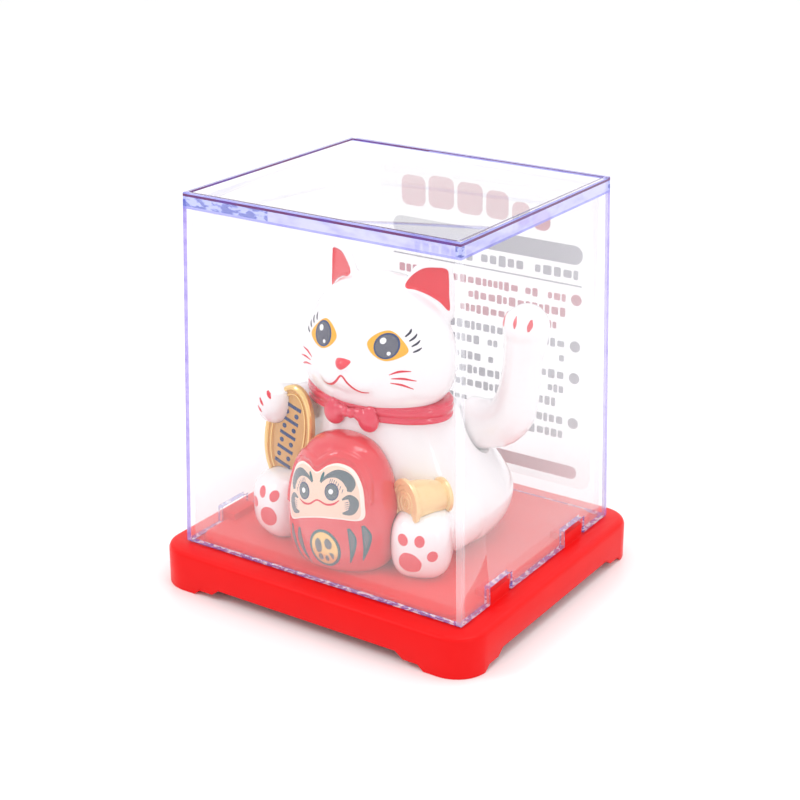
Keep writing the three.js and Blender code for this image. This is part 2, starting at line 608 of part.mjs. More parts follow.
function makeBobbin() {
  const z = BOARD.z + BOARD.thick + GAP;
  const { radius, bore, height } = COIL;
  const flanges = [[z, z + 0.5], [z + height - 0.5, z + height]];
  const discs = flanges.map(([low, high]) => {
    return rod([PENDULUM.x, PIVOT.y, low], [PENDULUM.x, PIVOT.y, high], radius, { sides: 24 });
  });
  const core = rod([PENDULUM.x, PIVOT.y, z], [PENDULUM.x, PIVOT.y, z + height], bore + 0.7, { sides: 24 });
  const hole = rod([PENDULUM.x, PIVOT.y, 0], [PENDULUM.x, PIVOT.y, 60], bore, { sides: 16 });
  return cut(join(...discs, core), hole);
}

function makeWinding() {
  const z = BOARD.z + BOARD.thick + GAP;
  const { radius, bore, height } = COIL;
  const [x, y] = [PENDULUM.x, PIVOT.y];
  const outer = rod([x, y, z + 0.8], [x, y, z + height - 0.8], radius - 0.5, { sides: 24 });
  return cut(outer, rod([x, y, 0], [x, y, 60], bore + 1.0, { sides: 24 }));
}

function makeCapacitor() {
  const z = BOARD.z + BOARD.thick + GAP;
  const { x, y, radius, height } = CAPACITOR;
  return rod([x, y, z], [x, y, z + height], radius, { sides: 16 });
}

function makeChip() {
  const z = BOARD.z + BOARD.thick + GAP;
  return box(CHIP.x, CHIP.y, [z, z + CHIP.thick]);
}

function makeCell() {
  return cellBlock(0, -CELL.thick + GAP, 0.25);
}

// One insulated lead from the back of the solar cell down to the circuit board.
function makeLead(x) {
  const route = new THREE.CatmullRomCurve3([
    new THREE.Vector3(x, 20.4, 32.6),
    new THREE.Vector3(x, 19.2, 31.2),
    new THREE.Vector3(x, 19.8, 27.5),
    new THREE.Vector3(x, 19.0, 22.8),
    new THREE.Vector3(x, 16.4, 20.4),
    new THREE.Vector3(x, 15.6, BOARD.z + BOARD.thick + GAP),
  ]);
  const section = new THREE.Shape();
  section.absarc(0, 0, 0.5, 0, Math.PI * 2);
  return solid(new THREE.ExtrudeGeometry(section, { steps: 12, extrudePath: route, curveSegments: 4 }));
}

// A screw with a domed head, its shaft pointing along +Z or -Z from the head's seat.
function makeScrew([x, y, seat], direction, length) {
  const shaft = rod([x, y, seat], [x, y, seat + direction * length], SCREW.shaft, { sides: 8 });
  const top = seat - direction * SCREW.headHeight;
  const head = rod([x, y, seat], [x, y, top], SCREW.head, { endRadius: SCREW.head * 0.72, sides: 14 });
  const slotZ = [top - direction * 0.1, top + direction * 0.6].sort((a, b) => a - b);
  const slot = box([x - 3, x + 3], [y - 0.35, y + 0.35], slotZ);
  return cut(join(shaft, head), slot);
}

// ------------------------------------------------------------------- assembly

const FINISH = {
  red: { color: 0xf01a1c, roughness: 0.35, metalness: 0 },
  clear: { color: 0xdfe4f5, roughness: 0.03, metalness: 0, transparent: true, opacity: 0.25 },
  film: { color: 0xf3dfe2, roughness: 0.4, metalness: 0 },
  white: { color: 0xf6f4f2, roughness: 0.18, metalness: 0 },
  collar: { color: 0xe02840, roughness: 0.15, metalness: 0 },
  doll: { color: 0xe23a3e, roughness: 0.2, metalness: 0 },
  gold: { color: 0xd6a24e, roughness: 0.3, metalness: 0.6 },
  steel: { color: 0xb9bcc0, roughness: 0.3, metalness: 1 },
  magnet: { color: 0x8a8d92, roughness: 0.35, metalness: 1 },
  grey: { color: 0xdcdad5, roughness: 0.5, metalness: 0 },
  board: { color: 0x2c6b3a, roughness: 0.5, metalness: 0 },
  copper: { color: 0xb4602c, roughness: 0.35, metalness: 1 },
  black: { color: 0x18181b, roughness: 0.45, metalness: 0 },
  cell: { color: 0x181a2c, roughness: 0.15, metalness: 0 },
};

const part = new THREE.Group();

// Put a solid into a group as a named mesh with its finish.
function addPiece(name, whole, finish, group = part) {
  const { vertProperties, triVerts } = whole.getMesh();
  const geometry = new THREE.BufferGeometry();
  geometry.setAttribute('position', new THREE.BufferAttribute(new Float32Array(vertProperties), 3));
  geometry.setIndex(new THREE.BufferAttribute(new Uint32Array(triVerts), 1));
  geometry.computeVertexNormals();
  const mesh = new THREE.Mesh(geometry, new THREE.MeshStandardMaterial(FINISH[finish]));
  mesh.name = name;
  group.add(mesh);
}

const cover = new THREE.Group();
const waver = new THREE.Group();
part.add(cover, waver);

addPiece('base_tray', makeTray(), 'red');
addPiece('clear_cover', makeCover(), 'clear', cover);
addPiece('info_label', makeLabel(), 'film', cover);

const body = makeBodyShells();
addPiece('body_front_shell', body.front, 'white');
addPiece('body_rear_shell', body.rear, 'white');
const head = makeHeadShells();
addPiece('head_front_shell', head.front, 'white');
addPiece('head_rear_shell', head.rear, 'white');
addPiece('collar_bow', makeCollar(), 'collar');
addPiece('daruma', makeDaruma(), 'doll');
addPiece('koban', makeKoban(), 'gold');
addPiece('mallet', makeMallet(), 'gold');

addPiece('waving_arm', makeArm(), 'white', waver);
addPiece('arm_axle', makeAxle(), 'steel', waver);
addPiece('rocker', makeRocker(), 'grey', waver);
addPiece('rocker_weight', makeWeight(), 'steel', waver);
addPiece('rocker_magnet', makeMagnet(), 'magnet', waver);
addPiece('axle_retainer', makeRetainer(), 'steel', waver);

addPiece('sole_plate', makeSolePlate(), 'white');
addPiece('mechanism_frame', makeMechanismFrame(), 'grey');
addPiece('circuit_board', makeBoard(), 'board');
addPiece('coil_bobbin', makeBobbin(), 'grey');
addPiece('coil_winding', makeWinding(), 'copper');
addPiece('capacitor', makeCapacitor(), 'black');
addPiece('drive_chip', makeChip(), 'black');
addPiece('solar_cell', makeCell(), 'cell');
addPiece('cell_lead_red', makeLead(FIGURE_X + 4.5), 'red');
addPiece('cell_lead_black', makeLead(FIGURE_X - 4.5), 'black');

BASE_SCREWS.forEach(([x, y], i) => {
  const seat = FLOOR - PLATFORM.plate - GAP;
  addPiece(`base_screw_${i + 1}`, makeScrew([x, y, seat], 1, 8), 'steel');
});
FRAME_SCREWS.forEach(([x, y], i) => {
  const seat = FRAME.plateZ + FRAME.plate + GAP;
  addPiece(`frame_screw_${i + 1}`, makeScrew([x, y, seat], -1, 3.6), 'steel');
});

export default part;
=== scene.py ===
"""A boxed beckoning cat: the finished surfaces of the figure, its case and its tray.

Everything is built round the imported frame, in metres. Sizes in this file are in
millimetres and are turned into metres where a mesh is made.
"""

import json
import logging
import math
from dataclasses import dataclass
from enum import Enum
from typing import Callable, Iterable, Optional, Sequence, Union

import bpy
from mathutils import Matrix, Vector

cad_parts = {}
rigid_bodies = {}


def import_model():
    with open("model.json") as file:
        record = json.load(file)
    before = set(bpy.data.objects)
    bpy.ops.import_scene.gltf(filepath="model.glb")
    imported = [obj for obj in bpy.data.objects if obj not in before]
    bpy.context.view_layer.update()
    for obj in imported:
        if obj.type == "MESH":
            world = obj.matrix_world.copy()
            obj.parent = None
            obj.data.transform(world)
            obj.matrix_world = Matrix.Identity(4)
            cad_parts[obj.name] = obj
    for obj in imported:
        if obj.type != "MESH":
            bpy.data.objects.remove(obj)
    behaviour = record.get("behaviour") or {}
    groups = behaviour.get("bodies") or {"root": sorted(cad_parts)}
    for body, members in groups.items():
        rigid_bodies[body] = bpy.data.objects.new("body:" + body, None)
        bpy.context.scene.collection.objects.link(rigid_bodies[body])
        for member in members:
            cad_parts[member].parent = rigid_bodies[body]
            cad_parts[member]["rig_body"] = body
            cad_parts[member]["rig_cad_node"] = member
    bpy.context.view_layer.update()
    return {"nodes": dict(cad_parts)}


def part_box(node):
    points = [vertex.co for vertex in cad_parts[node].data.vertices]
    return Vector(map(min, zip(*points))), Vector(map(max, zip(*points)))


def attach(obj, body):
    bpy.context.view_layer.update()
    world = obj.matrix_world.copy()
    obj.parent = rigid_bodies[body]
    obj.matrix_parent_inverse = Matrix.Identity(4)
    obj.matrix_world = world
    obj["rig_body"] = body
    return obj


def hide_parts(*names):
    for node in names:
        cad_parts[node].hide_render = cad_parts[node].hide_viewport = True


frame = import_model()

MM = 0.001
LOG = logging.getLogger("beckoning_cat")

Point = Sequence[float]
Outline = list[tuple[float, float]]
Obj = bpy.types.Object
Number = Union["Value", float]


# ------------------------------------------------------------------ shader kit


class Value:
    """A number that varies over a surface, written with ordinary operators."""

    def __init__(self, kit: "Kit", socket: bpy.types.NodeSocket) -> None:
        """Wraps one output socket.

        Args:
            kit: the material that the socket belongs to.
            socket: the output socket.
        """
        self.kit = kit
        self.socket = socket

    def __add__(self, other: Number) -> "Value":
        """Sum."""
        return self.kit.maths("ADD", self, other)

    __radd__ = __add__

    def __sub__(self, other: Number) -> "Value":
        """Difference."""
        return self.kit.maths("SUBTRACT", self, other)

    def __rsub__(self, other: Number) -> "Value":
        """Difference with the value second."""
        return self.kit.maths("SUBTRACT", other, self)

    def __mul__(self, other: Number) -> "Value":
        """Product."""
        return self.kit.maths("MULTIPLY", self, other)

    __rmul__ = __mul__

    def __truediv__(self, other: Number) -> "Value":
        """Quotient."""
        return self.kit.maths("DIVIDE", self, other)

    def __pow__(self, other: Number) -> "Value":
        """Power."""
        return self.kit.maths("POWER", self, other)

    def __gt__(self, other: Number) -> "Value":
        """One where the value is greater, else zero."""
        return self.kit.maths("GREATER_THAN", self, other)

    def __lt__(self, other: Number) -> "Value":
        """One where the value is less, else zero."""
        return self.kit.maths("LESS_THAN", self, other)

    def absolute(self) -> "Value":
        """Size without sign."""
        return self.kit.maths("ABSOLUTE", self, 0.0)

    def repeat(self, period: float) -> "Value":
        """Saw tooth from 0 to 1 over each period."""
        return self.kit.maths("FRACT", self / period, 0.0)


class Kit:
    """One material's node tree and the few calls that fill it."""

    def __init__(self, name: str) -> None:
        """Makes an empty material.

        Args:
            name: the material's name.
        """
        self.material = bpy.data.materials.new(name)
        self.material.use_nodes = True
        self.tree = self.material.node_tree
        self.tree.nodes.clear()
        self.place = self.node("ShaderNodeTexCoord").outputs["Object"]

    def node(self, kind: str, settings: Optional[dict] = None,
             inputs: Optional[dict] = None) -> bpy.types.Node:
        """Adds a node.

        Args:
            kind: the node's type.
            settings: its properties, set before its sockets.
            inputs: socket name or number to a number, colour, socket or Value.

        Returns:
            The node.
        """
        made = self.tree.nodes.new(kind)
        for name, value in (settings or {}).items():
            setattr(made, name, value)
        for name, value in (inputs or {}).items():
            if isinstance(value, Value):
                value = value.socket
            if isinstance(value, bpy.types.NodeSocket):
                self.tree.links.new(value, made.inputs[name])
            else:
                made.inputs[name].default_value = value
        return made

    def maths(self, operation: str, first: Number, second: Number) -> Value:
        """Adds a Math node.

        Args:
            operation: the operation's name.
            first: its first number.
            second: its second number.

        Returns:
            The result.
        """
        made = self.node("ShaderNodeMath", {"operation": operation}, {0: first, 1: second})
        return Value(self, made.outputs[0])

    def axes(self) -> tuple[Value, Value, Value]:
        """The place on the object as three values in millimetres."""
        split = self.node("ShaderNodeSeparateXYZ", inputs={0: self.place})
        return tuple(Value(self, split.outputs[i]) * (1 / MM) for i in range(3))

    def cloud(self, size: float, stretch: Point = (1, 1, 1), detail: float = 2.0) -> Value:
        """Soft noise from 0 to 1.

        Args:
            size: the size of a blotch in millimetres.
            stretch: how much finer it is along each axis.
            detail: octaves.

        Returns:
            The noise.
        """
        at = self.node("ShaderNodeMapping", {"vector_type": "POINT"},
                       {"Vector": self.place, "Scale": stretch})
        made = self.node("ShaderNodeTexNoise", inputs={
            "Vector": at.outputs[0], "Scale": 1 / (size * MM), "Detail": detail, "Roughness": 0.5})
        return Value(self, made.outputs[0])

    def blend(self, mask: Number, low: Union[Point, bpy.types.NodeSocket],
              high: Union[Point, bpy.types.NodeSocket]) -> bpy.types.NodeSocket:
        """Mixes two colours.

        Args:
            mask: 0 for the first and 1 for the second.
            low: a colour or a colour socket.
            high: a colour or a colour socket.

        Returns:
            The mixed colour's socket.
        """
        def full(colour: Union[Point, bpy.types.NodeSocket]) -> Union[tuple, bpy.types.NodeSocket]:
            return colour if isinstance(colour, bpy.types.NodeSocket) else (*colour[:3], 1.0)
        made = self.node("ShaderNodeMix", {"data_type": "RGBA"}, {0: mask, 6: full(low), 7: full(high)})
        return made.outputs[2]

    def bump(self, height: Value, depth: float) -> bpy.types.NodeSocket:
        """Turns a height from 0 to 1 into a normal.

        Args:
            height: the height.
            depth: its size in millimetres.

        Returns:
            The normal's socket.
        """
        made = self.node("ShaderNodeBump", inputs={"Strength": 1.0, "Distance": depth * MM, "Height": height})
        return made.outputs[0]

    def close(self, shader: bpy.types.Node) -> bpy.types.Material:
        """Puts a shader on the output.

        Args:
            shader: the last shader node.

        Returns:
            The finished material.
        """
        self.node("ShaderNodeOutputMaterial", inputs={"Surface": shader.outputs[0]})
        return self.material


class Texture(Enum):
    """How a surface's fine relief runs."""

    FLOWED = (1, 1, 1)
    GRAINED = (1, 1, 1.4)
    BRUSHED = (0.06, 1, 1)
    TURNED = (1, 1, 0.05)


@dataclass(frozen=True)
class Finish:
    """An opaque finish with its colour drift, gloss and relief."""

    name: str
    colour: tuple[float, float, float]
    drift: tuple[float, float, float]
    roughness: float = 0.3
    spread: float = 0.08
    metallic: float = 0.0
    coat: float = 0.0
    specular: float = 0.5
    texture: Texture = Texture.FLOWED
    grain: float = 0.8
    relief: float = 0.004
    cloud: float = 9.0

    def make(self) -> bpy.types.Material:
        """Builds the material."""
        kit = Kit(self.name)
        fine = kit.cloud(self.grain, self.texture.value, 3.0)
        colour = kit.blend(kit.cloud(self.cloud), self.colour, self.drift)
        return self.finish(kit, colour, fine)

    def finish(self, kit: Kit, colour: bpy.types.NodeSocket, fine: Value) -> bpy.types.Material:
        """Puts colour and relief on the surface.

        Args:
            kit: the material.
            colour: the colour's socket.
            fine: the relief's height.

        Returns:
            The finished material.
        """
        shader = kit.node("ShaderNodeBsdfPrincipled", inputs={
            "Base Color": colour,
            "Roughness": self.roughness + (fine - 0.5) * self.spread,
            "Metallic": self.metallic,
            "Coat Weight": self.coat,
            "Coat Roughness": 0.04,
            "Specular IOR Level": self.specular,
            "Normal": kit.bump(fine, self.relief),
        })
        return kit.close(shader)


@dataclass(frozen=True)
class Speckled(Finish):
    """A printed coat with a fine speckle of a second ink."""

    speckle: tuple[float, float, float] = (0.5, 0.5, 0.5)
    dot: float = 0.16

    def make(self) -> bpy.types.Material:
        """Builds the material."""
        kit = Kit(self.name)
        fine = kit.cloud(self.dot, detail=1.0)
        ground = kit.blend(kit.cloud(self.cloud), self.colour, self.drift)
        return self.finish(kit, kit.blend(fine > 0.56, ground, self.speckle), fine)


@dataclass(frozen=True)
class Winding(Finish):
    """Turns of enamelled wire round an upright bobbin, with painted shade between the turns."""

    pitch: float = 0.16

    def make(self) -> bpy.types.Material:
        """Builds the material."""
        kit = Kit(self.name)
        height = kit.axes()[2]
        turn = 1 - (height.repeat(self.pitch) * 2 - 1).absolute()
        # painted shade: each turn goes from its colour at its middle to the darker second colour at its edges,
        # where the gaps between turns lie
        colour = kit.blend(turn, self.drift, self.colour)
        return self.finish(kit, colour, turn)


@dataclass(frozen=True)
class CellFace(Finish):
    """A solar cell: dark blue strips with thin silver fingers between them."""

    strip: float = 4.4
    line: tuple[float, float, float] = (0.5, 0.52, 0.56)

    def make(self) -> bpy.types.Material:
        """Builds the material."""
        kit = Kit(self.name)
        across = kit.axes()[0]
        finger = (across + 100).repeat(self.strip) < 0.07
        hair = (across + 100).repeat(self.strip / 8) < 0.1
        ground = kit.blend(kit.cloud(self.cloud), self.colour, self.drift)
        faint = kit.blend(hair * 0.25, ground, self.line)
        return self.finish(kit, kit.blend(finger, faint, self.line), kit.cloud(self.grain))


@dataclass(frozen=True)
class BoardFace(Finish):
    """A circuit board with lighter copper tracks under its mask."""

    track: tuple[float, float, float] = (0.09, 0.36, 0.12)

    def make(self) -> bpy.types.Material:
        """Builds the material."""
        kit = Kit(self.name)
        across, along, _ = kit.axes()
        lane = ((across + kit.cloud(7.0) * 6 + 100).repeat(2.2) < 0.3)
        cross = ((along + kit.cloud(9.0) * 5 + 100).repeat(3.1) < 0.25)
        ground = kit.blend(kit.cloud(self.cloud), self.colour, self.drift)
        return self.finish(kit, kit.blend(lane + cross - lane * cross, ground, self.track), lane)


@dataclass(frozen=True)
class Clear:
    """Polished clear plastic: nearly all light goes on, and a little is mirrored.

    The mirrored share grows towards grazing view as on any smooth dielectric. Body
    is the share of painted, faintly glowing colour that stands in for light bent through
    the thick edges; the painted veil is painted reflection of the white room, fading out upwards.
    """

    name: str
    tint: tuple[float, float, float]
    # colour of the painted light: the edges' painted glints and the painted veil of reflected white
    painted_light_colour: tuple[float, float, float]
    body: float = 0.0
    streak: float = 0.0
    deep: tuple[float, float, float] = (0.2, 0.1, 0.5)
    base: float = 0.022
    # share of painted reflection of the white room, strongest at the bottom and gone above the height below
    painted_veil: float = 0.0
    blotch: float = 6.0
    painted_veil_height: float = 46.0

    def make(self) -> bpy.types.Material:
        """Builds the material."""
        kit = Kit(self.name)
        facing = Value(kit, kit.node("ShaderNodeLayerWeight", inputs={"Blend": 0.5}).outputs["Facing"])
        mirrored = self.base + (facing ** 5) * (1 - self.base)
        through = kit.node("ShaderNodeBsdfTransparent", inputs={"Color": (*self.tint, 1.0)})
        gloss = kit.node("ShaderNodeBsdfAnisotropic", inputs={"Color": (1, 1, 1, 1), "Roughness": 0.03})
        inner = through
        # Painted light: a faintly glowing colour is mixed in, as painted glints on the thick edges and as a
        # painted veil of reflected white that is strongest at the bottom and gone above a set height.
        if self.body + self.painted_veil > 0:
            cloud = kit.cloud(self.blotch, (1, 1, 2.5))
            colour = kit.blend((cloud - 0.42) * (self.streak * 6), self.painted_light_colour, self.deep)
            solid = kit.node("ShaderNodeBsdfPrincipled", inputs={
                "Base Color": colour, "Roughness": 0.12, "Emission Color": colour, "Emission Strength": 0.15})
            share = kit.maths("MAXIMUM", 1 - kit.axes()[2] / self.painted_veil_height, 0.0) * self.painted_veil + self.body
            inner = kit.node("ShaderNodeMixShader",
                             inputs={0: share, 1: through.outputs[0], 2: solid.outputs[0]})
        return kit.close(kit.node("ShaderNodeMixShader",
                                  inputs={0: mirrored, 1: inner.outputs[0], 2: gloss.outputs[0]}))


@dataclass(frozen=True)
class Film:
    """Thin printed film that lets some light through."""

    name: str
    colour: tuple[float, float, float]
    cover: float

    def make(self) -> bpy.types.Material:
        """Builds the material."""
        kit = Kit(self.name)
        fine = kit.cloud(0.5)
        colour = kit.blend(fine, self.colour, tuple(c * 0.97 for c in self.colour))
        solid = kit.node("ShaderNodeBsdfPrincipled", inputs={
            "Base Color": colour, "Roughness": 0.35 + fine * 0.1, "Specular IOR Level": 0.3})
        through = kit.node("ShaderNodeBsdfTransparent", inputs={"Color": (1, 1, 1, 1)})
        return kit.close(kit.node("ShaderNodeMixShader", inputs={
            0: self.cover + fine * 0.04, 1: through.outputs[0], 2: solid.outputs[0]}))


class Palette:
    """Every finish of the object, made once and handed out by name."""

    def __init__(self) -> None:
        """Lists the finishes and builds their materials."""
        lacquer = dict(roughness=0.16, spread=0.05, coat=0.8, relief=0.003, grain=1.6)
        paint = dict(roughness=0.3, spread=0.1, coat=0.25, relief=0.003, grain=0.35, cloud=1.4)
        finishes = [
            Finish("figure_white", (0.93, 0.925, 0.925), (0.91, 0.90, 0.905), **lacquer),
            Finish("collar_red", (0.80, 0.035, 0.085), (0.70, 0.02, 0.06), **lacquer),
            Finish("doll_coral", (0.80, 0.052, 0.065), (0.72, 0.035, 0.05), **lacquer),
            Finish("tray_red", (0.82, 0.006, 0.006), (0.76, 0.004, 0.005), roughness=0.35, spread=0.15,
                   specular=0.15, texture=Texture.GRAINED, grain=0.25, relief=0.004),
            Finish("coin_gold", (0.72, 0.42, 0.16), (0.62, 0.34, 0.12), roughness=0.34, spread=0.2,
                   metallic=0.35, coat=0.3, grain=0.3, relief=0.006, cloud=3.0),
            Finish("rim_gold", (0.95, 0.68, 0.28), (0.88, 0.58, 0.20), roughness=0.22, spread=0.15,
                   metallic=0.45, coat=0.4, grain=0.3, relief=0.005, cloud=3.0),
            Finish("mallet_gold", (0.95, 0.72, 0.38), (0.88, 0.62, 0.30), roughness=0.3, spread=0.2,
                   metallic=0.2, coat=0.3, grain=0.3, relief=0.006, cloud=3.0),
            Finish("iris_yellow", (0.93, 0.50, 0.03), (0.88, 0.40, 0.02), **paint),
            Speckled("pupil_slate", (0.11, 0.115, 0.15), (0.08, 0.085, 0.12), speckle=(0.19, 0.2, 0.24),
                     **paint),
            Finish("line_navy", (0.02, 0.06, 0.2), (0.015, 0.045, 0.15), **paint),
            Finish("lash_dark", (0.02, 0.02, 0.05), (0.015, 0.015, 0.035), **paint),
            Finish("paint_white", (0.97, 0.97, 0.97), (0.94, 0.94, 0.94), **paint),
            Finish("paint_red", (0.78, 0.02, 0.05), (0.68, 0.012, 0.035), **paint),
            Finish("ear_red", (0.86, 0.055, 0.075), (0.74, 0.04, 0.055), **paint),
            Finish("pad_red", (0.83, 0.06, 0.085), (0.76, 0.045, 0.065), **paint),
            Finish("face_cream", (0.93, 0.70, 0.56), (0.90, 0.66, 0.52), **paint),
            Finish("face_edge", (0.95, 0.88, 0.80), (0.93, 0.85, 0.76), **paint),
            Finish("ink_teal", (0.012, 0.15, 0.17), (0.01, 0.12, 0.14), **paint),
            Speckled("ink_grey", (0.115, 0.15, 0.17), (0.09, 0.12, 0.14), speckle=(0.2, 0.25, 0.27), **paint),
            Finish("steel", (0.60, 0.60, 0.62), (0.52, 0.52, 0.55), roughness=0.3, spread=0.2, metallic=1.0,
                   texture=Texture.BRUSHED, grain=0.2),
            Finish("magnet_nickel", (0.55, 0.54, 0.52), (0.48, 0.47, 0.46), roughness=0.25, metallic=1.0,
                   texture=Texture.TURNED, grain=0.2),
            Finish("cast_weight", (0.30, 0.30, 0.31), (0.22, 0.22, 0.23), roughness=0.55, spread=0.25,
                   metallic=0.9, texture=Texture.GRAINED, grain=0.5, relief=0.03),
            Finish("nylon_grey", (0.74, 0.73, 0.70), (0.68, 0.67, 0.64), roughness=0.5, grain=0.4),
            BoardFace("board_green", (0.02, 0.16, 0.05), (0.015, 0.12, 0.04), roughness=0.35, relief=0.03),
            # the copper's second colour is painted shade between the turns
            Winding("copper", (0.70, 0.30, 0.12), (0.30, 0.10, 0.04), roughness=0.3, metallic=0.9,
                    relief=0.05),
            Finish("black_plastic", (0.03, 0.03, 0.033), (0.02, 0.02, 0.022), roughness=0.45, grain=0.3),
            CellFace("cell_glass", (0.012, 0.014, 0.05), (0.03, 0.02, 0.07), roughness=0.12, coat=0.8),
            Finish("lead_red", (0.65, 0.02, 0.02), (0.58, 0.015, 0.015), roughness=0.4, grain=0.3),
            Film("print_pink", (1.0, 0.44, 0.52), 0.6),
            Film("print_grey", (0.60, 0.61, 0.70), 0.5),
            Film("label_film", (0.99, 0.98, 0.985), 0.06),
            # The cover's finishes paint light: glowing edge colours stand in for glints of light bent through the
            # thick edges, and a white veil, strongest at the bottom, stands in for reflection of the room.
            Clear("cover_clear", (0.99, 0.985, 0.99), (0.97, 0.96, 0.97), painted_veil=0.13),
            Clear("cover_side", (0.985, 0.98, 0.985), (0.97, 0.96, 0.97), body=0.06, base=0.035, painted_veil=0.14),
            Clear("cover_edge", (0.85, 0.82, 0.96), (0.42, 0.36, 0.80), body=0.55, streak=0.4,
                  deep=(0.2, 0.12, 0.6)),
            Clear("cover_corner", (0.97, 0.97, 0.99), (0.93, 0.93, 0.96), body=0.3),
            Clear("cover_slab", (0.80, 0.80, 1.0), (0.52, 0.52, 0.89), body=0.7, streak=0.5,
                  deep=(0.34, 0.33, 0.82)),
            Clear("cover_line", (0.4, 0.3, 0.7), (0.11, 0.008, 0.09), body=0.95, streak=0.5,
                  deep=(0.08, 0.02, 0.26)),
            Clear("cover_low", (0.7, 0.7, 1.0), (0.30, 0.31, 0.78), body=0.7, streak=0.5,
                  deep=(0.18, 0.16, 0.62)),
            Clear("cover_cut", (0.85, 0.93, 1.0), (0.82, 0.90, 1.0), body=0.5, streak=2.2,
                  deep=(0.0, 0.13, 0.62),
                  blotch=1.6),
            Clear("cover_blue", (0.7, 0.75, 1.0), (0.42, 0.45, 0.90), body=0.7, streak=1.4,
                  deep=(0.06, 0.08, 0.45),
                  blotch=2.6),
        ]
        self.materials = {finish.name: finish.make() for finish in finishes}

    def dress(self, piece: Obj, *names: str) -> None:
        """Gives a piece its materials, in slot order.

        Args:
            piece: the object.
            names: finish names.
        """
        piece.data.materials.clear()
        for name in names:
            piece.data.materials.append(self.materials[name])


# ---------------------------------------------------------------- modelling kit


def pick(*pieces: Obj) -> Obj:
    """Makes these objects the only selected ones and the first one active.

    Args:
        pieces: the objects.

    Returns:
        The first one.
    """
    bpy.ops.object.select_all(action="DESELECT")
    for piece in pieces:
        piece.select_set(True)
    bpy.context.view_layer.objects.active = pieces[0]
    return pieces[0]


def settle(piece: Obj) -> Obj:
    """Moves an object's place, turn and scale into its mesh.

    Args:
        piece: the object.

    Returns:
        The same object.
    """
    pick(piece)
    bpy.ops.object.transform_apply(location=True, rotation=True, scale=True)
    return piece


def edit(piece: Obj, action: Callable[[], None]) -> Obj:
    """Runs edit-mode operators on the whole of one object.

    Args:
        piece: the object.
        action: what to do with everything selected.

    Returns:
        The same object.
    """
    pick(piece)
    bpy.ops.object.mode_set(mode="EDIT")
    bpy.ops.mesh.select_all(action="SELECT")
    action()
    bpy.ops.object.mode_set(mode="OBJECT")
    return piece


def modify(piece: Obj, kind: str, **settings: object) -> Obj:
    """Adds a modifier and applies it.

    Args:
        piece: the object.
        kind: the modifier's type.
        settings: its properties.

    Returns:
        The same object.
    """
    pick(piece)
    added = piece.modifiers.new(kind.lower(), kind)
    for name, value in settings.items():
        setattr(added, name, value)
    bpy.ops.object.modifier_apply(modifier=added.name)
    return piece


def twin(piece: Obj) -> Obj:
    """A copy with a mesh of its own.

    Args:
        piece: the object.

    Returns:
        The copy.
    """
    copy = piece.copy()
    copy.data = piece.data.copy()
    bpy.context.scene.collection.objects.link(copy)
    return copy


def bring_together(pieces: Sequence[Obj]) -> Obj:
    """Joins objects into the first one.

    Args:
        pieces: the objects.

    Returns:
        The joined object.
    """
    whole = pick(*pieces)
    if len(pieces) > 1:
        bpy.ops.object.join()
    return whole


def carve(piece: Obj, tool: Obj, operation: str = "DIFFERENCE", keep: bool = False) -> Obj:
    """Cuts, joins or keeps what is common with a tool.

    Args:
        piece: the closed object to change.
        tool: a closed object.
        operation: DIFFERENCE, UNION or INTERSECT.
        keep: whether the tool stays in the scene.

    Returns:
        The changed object.
    """
    modify(piece, "BOOLEAN", object=tool, operation=operation, solver="MANIFOLD")
    if not keep:
        bpy.data.objects.remove(tool)
    return piece


def fuse(pieces: Sequence[Obj], voxel: float, rounds: int) -> Obj:
    """Runs overlapping closed forms together into one soft skin.

    Args:
        pieces: the forms.
        voxel: the skin's mesh size in millimetres.
        rounds: smoothing rounds, which fill the creases between forms.

    Returns:
        One object.
    """
    whole = bring_together(pieces)
    modify(whole, "REMESH", mode="VOXEL", voxel_size=voxel * MM)
    modify(whole, "SMOOTH", factor=0.5, iterations=rounds)
    return whole


def box(low: Point, high: Point) -> Obj:
    """A plain block, used only as a tool.

    Args:
        low: its lowest corner.
        high: its highest corner.

    Returns:
        The object.
    """
    bpy.ops.mesh.primitive_cube_add(size=1, location=(Vector(low) + Vector(high)) / 2 * MM)
    block = bpy.context.object
    block.scale = (Vector(high) - Vector(low)) * MM
    return settle(block)


def ball(centre: Point, half: Point, yaw: float = 0, roll: float = 0, blunt: float = 2.0,
         fine: int = 48) -> Obj:
    """An ellipsoid, fuller at its ends where blunt is over 2.

    Args:
        centre: its centre.
        half: its three radii.
        yaw: turn about Z in degrees.
        roll: turn about Y in degrees, made first.
        blunt: the power of its outline.
        fine: faces round its middle.

    Returns:
        The object.
    """
    bpy.ops.mesh.primitive_uv_sphere_add(segments=fine, ring_count=fine * 2 // 3, radius=1)
    made = bpy.context.object
    for vertex in made.data.vertices:
        total = sum(abs(part) ** blunt for part in vertex.co)
        vertex.co /= total ** (1 / blunt)
    made.scale = Vector(half) * MM
    made.rotation_euler = (0, math.radians(roll), math.radians(yaw))
    made.location = Vector(centre) * MM
    return settle(made)


def rod(start: Point, end: Point, radius: float, end_radius: Optional[float] = None, sides: int = 48) -> Obj:
    """A cylinder or cone between two points.

    Args:
        start: the middle of its first end.
        end: the middle of its other end.
        radius: its first radius.
        end_radius: its other radius, the same if left out.
        sides: faces round it.

    Returns:
        The object.
    """
    first, last = Vector(start) * MM, Vector(end) * MM
    bpy.ops.mesh.primitive_cone_add(
        vertices=sides, radius1=radius * MM, radius2=(radius if end_radius is None else end_radius) * MM,
        depth=(last - first).length, location=(first + last) / 2,
        rotation=(last - first).to_track_quat("Z", "Y").to_euler())
    return settle(bpy.context.object)


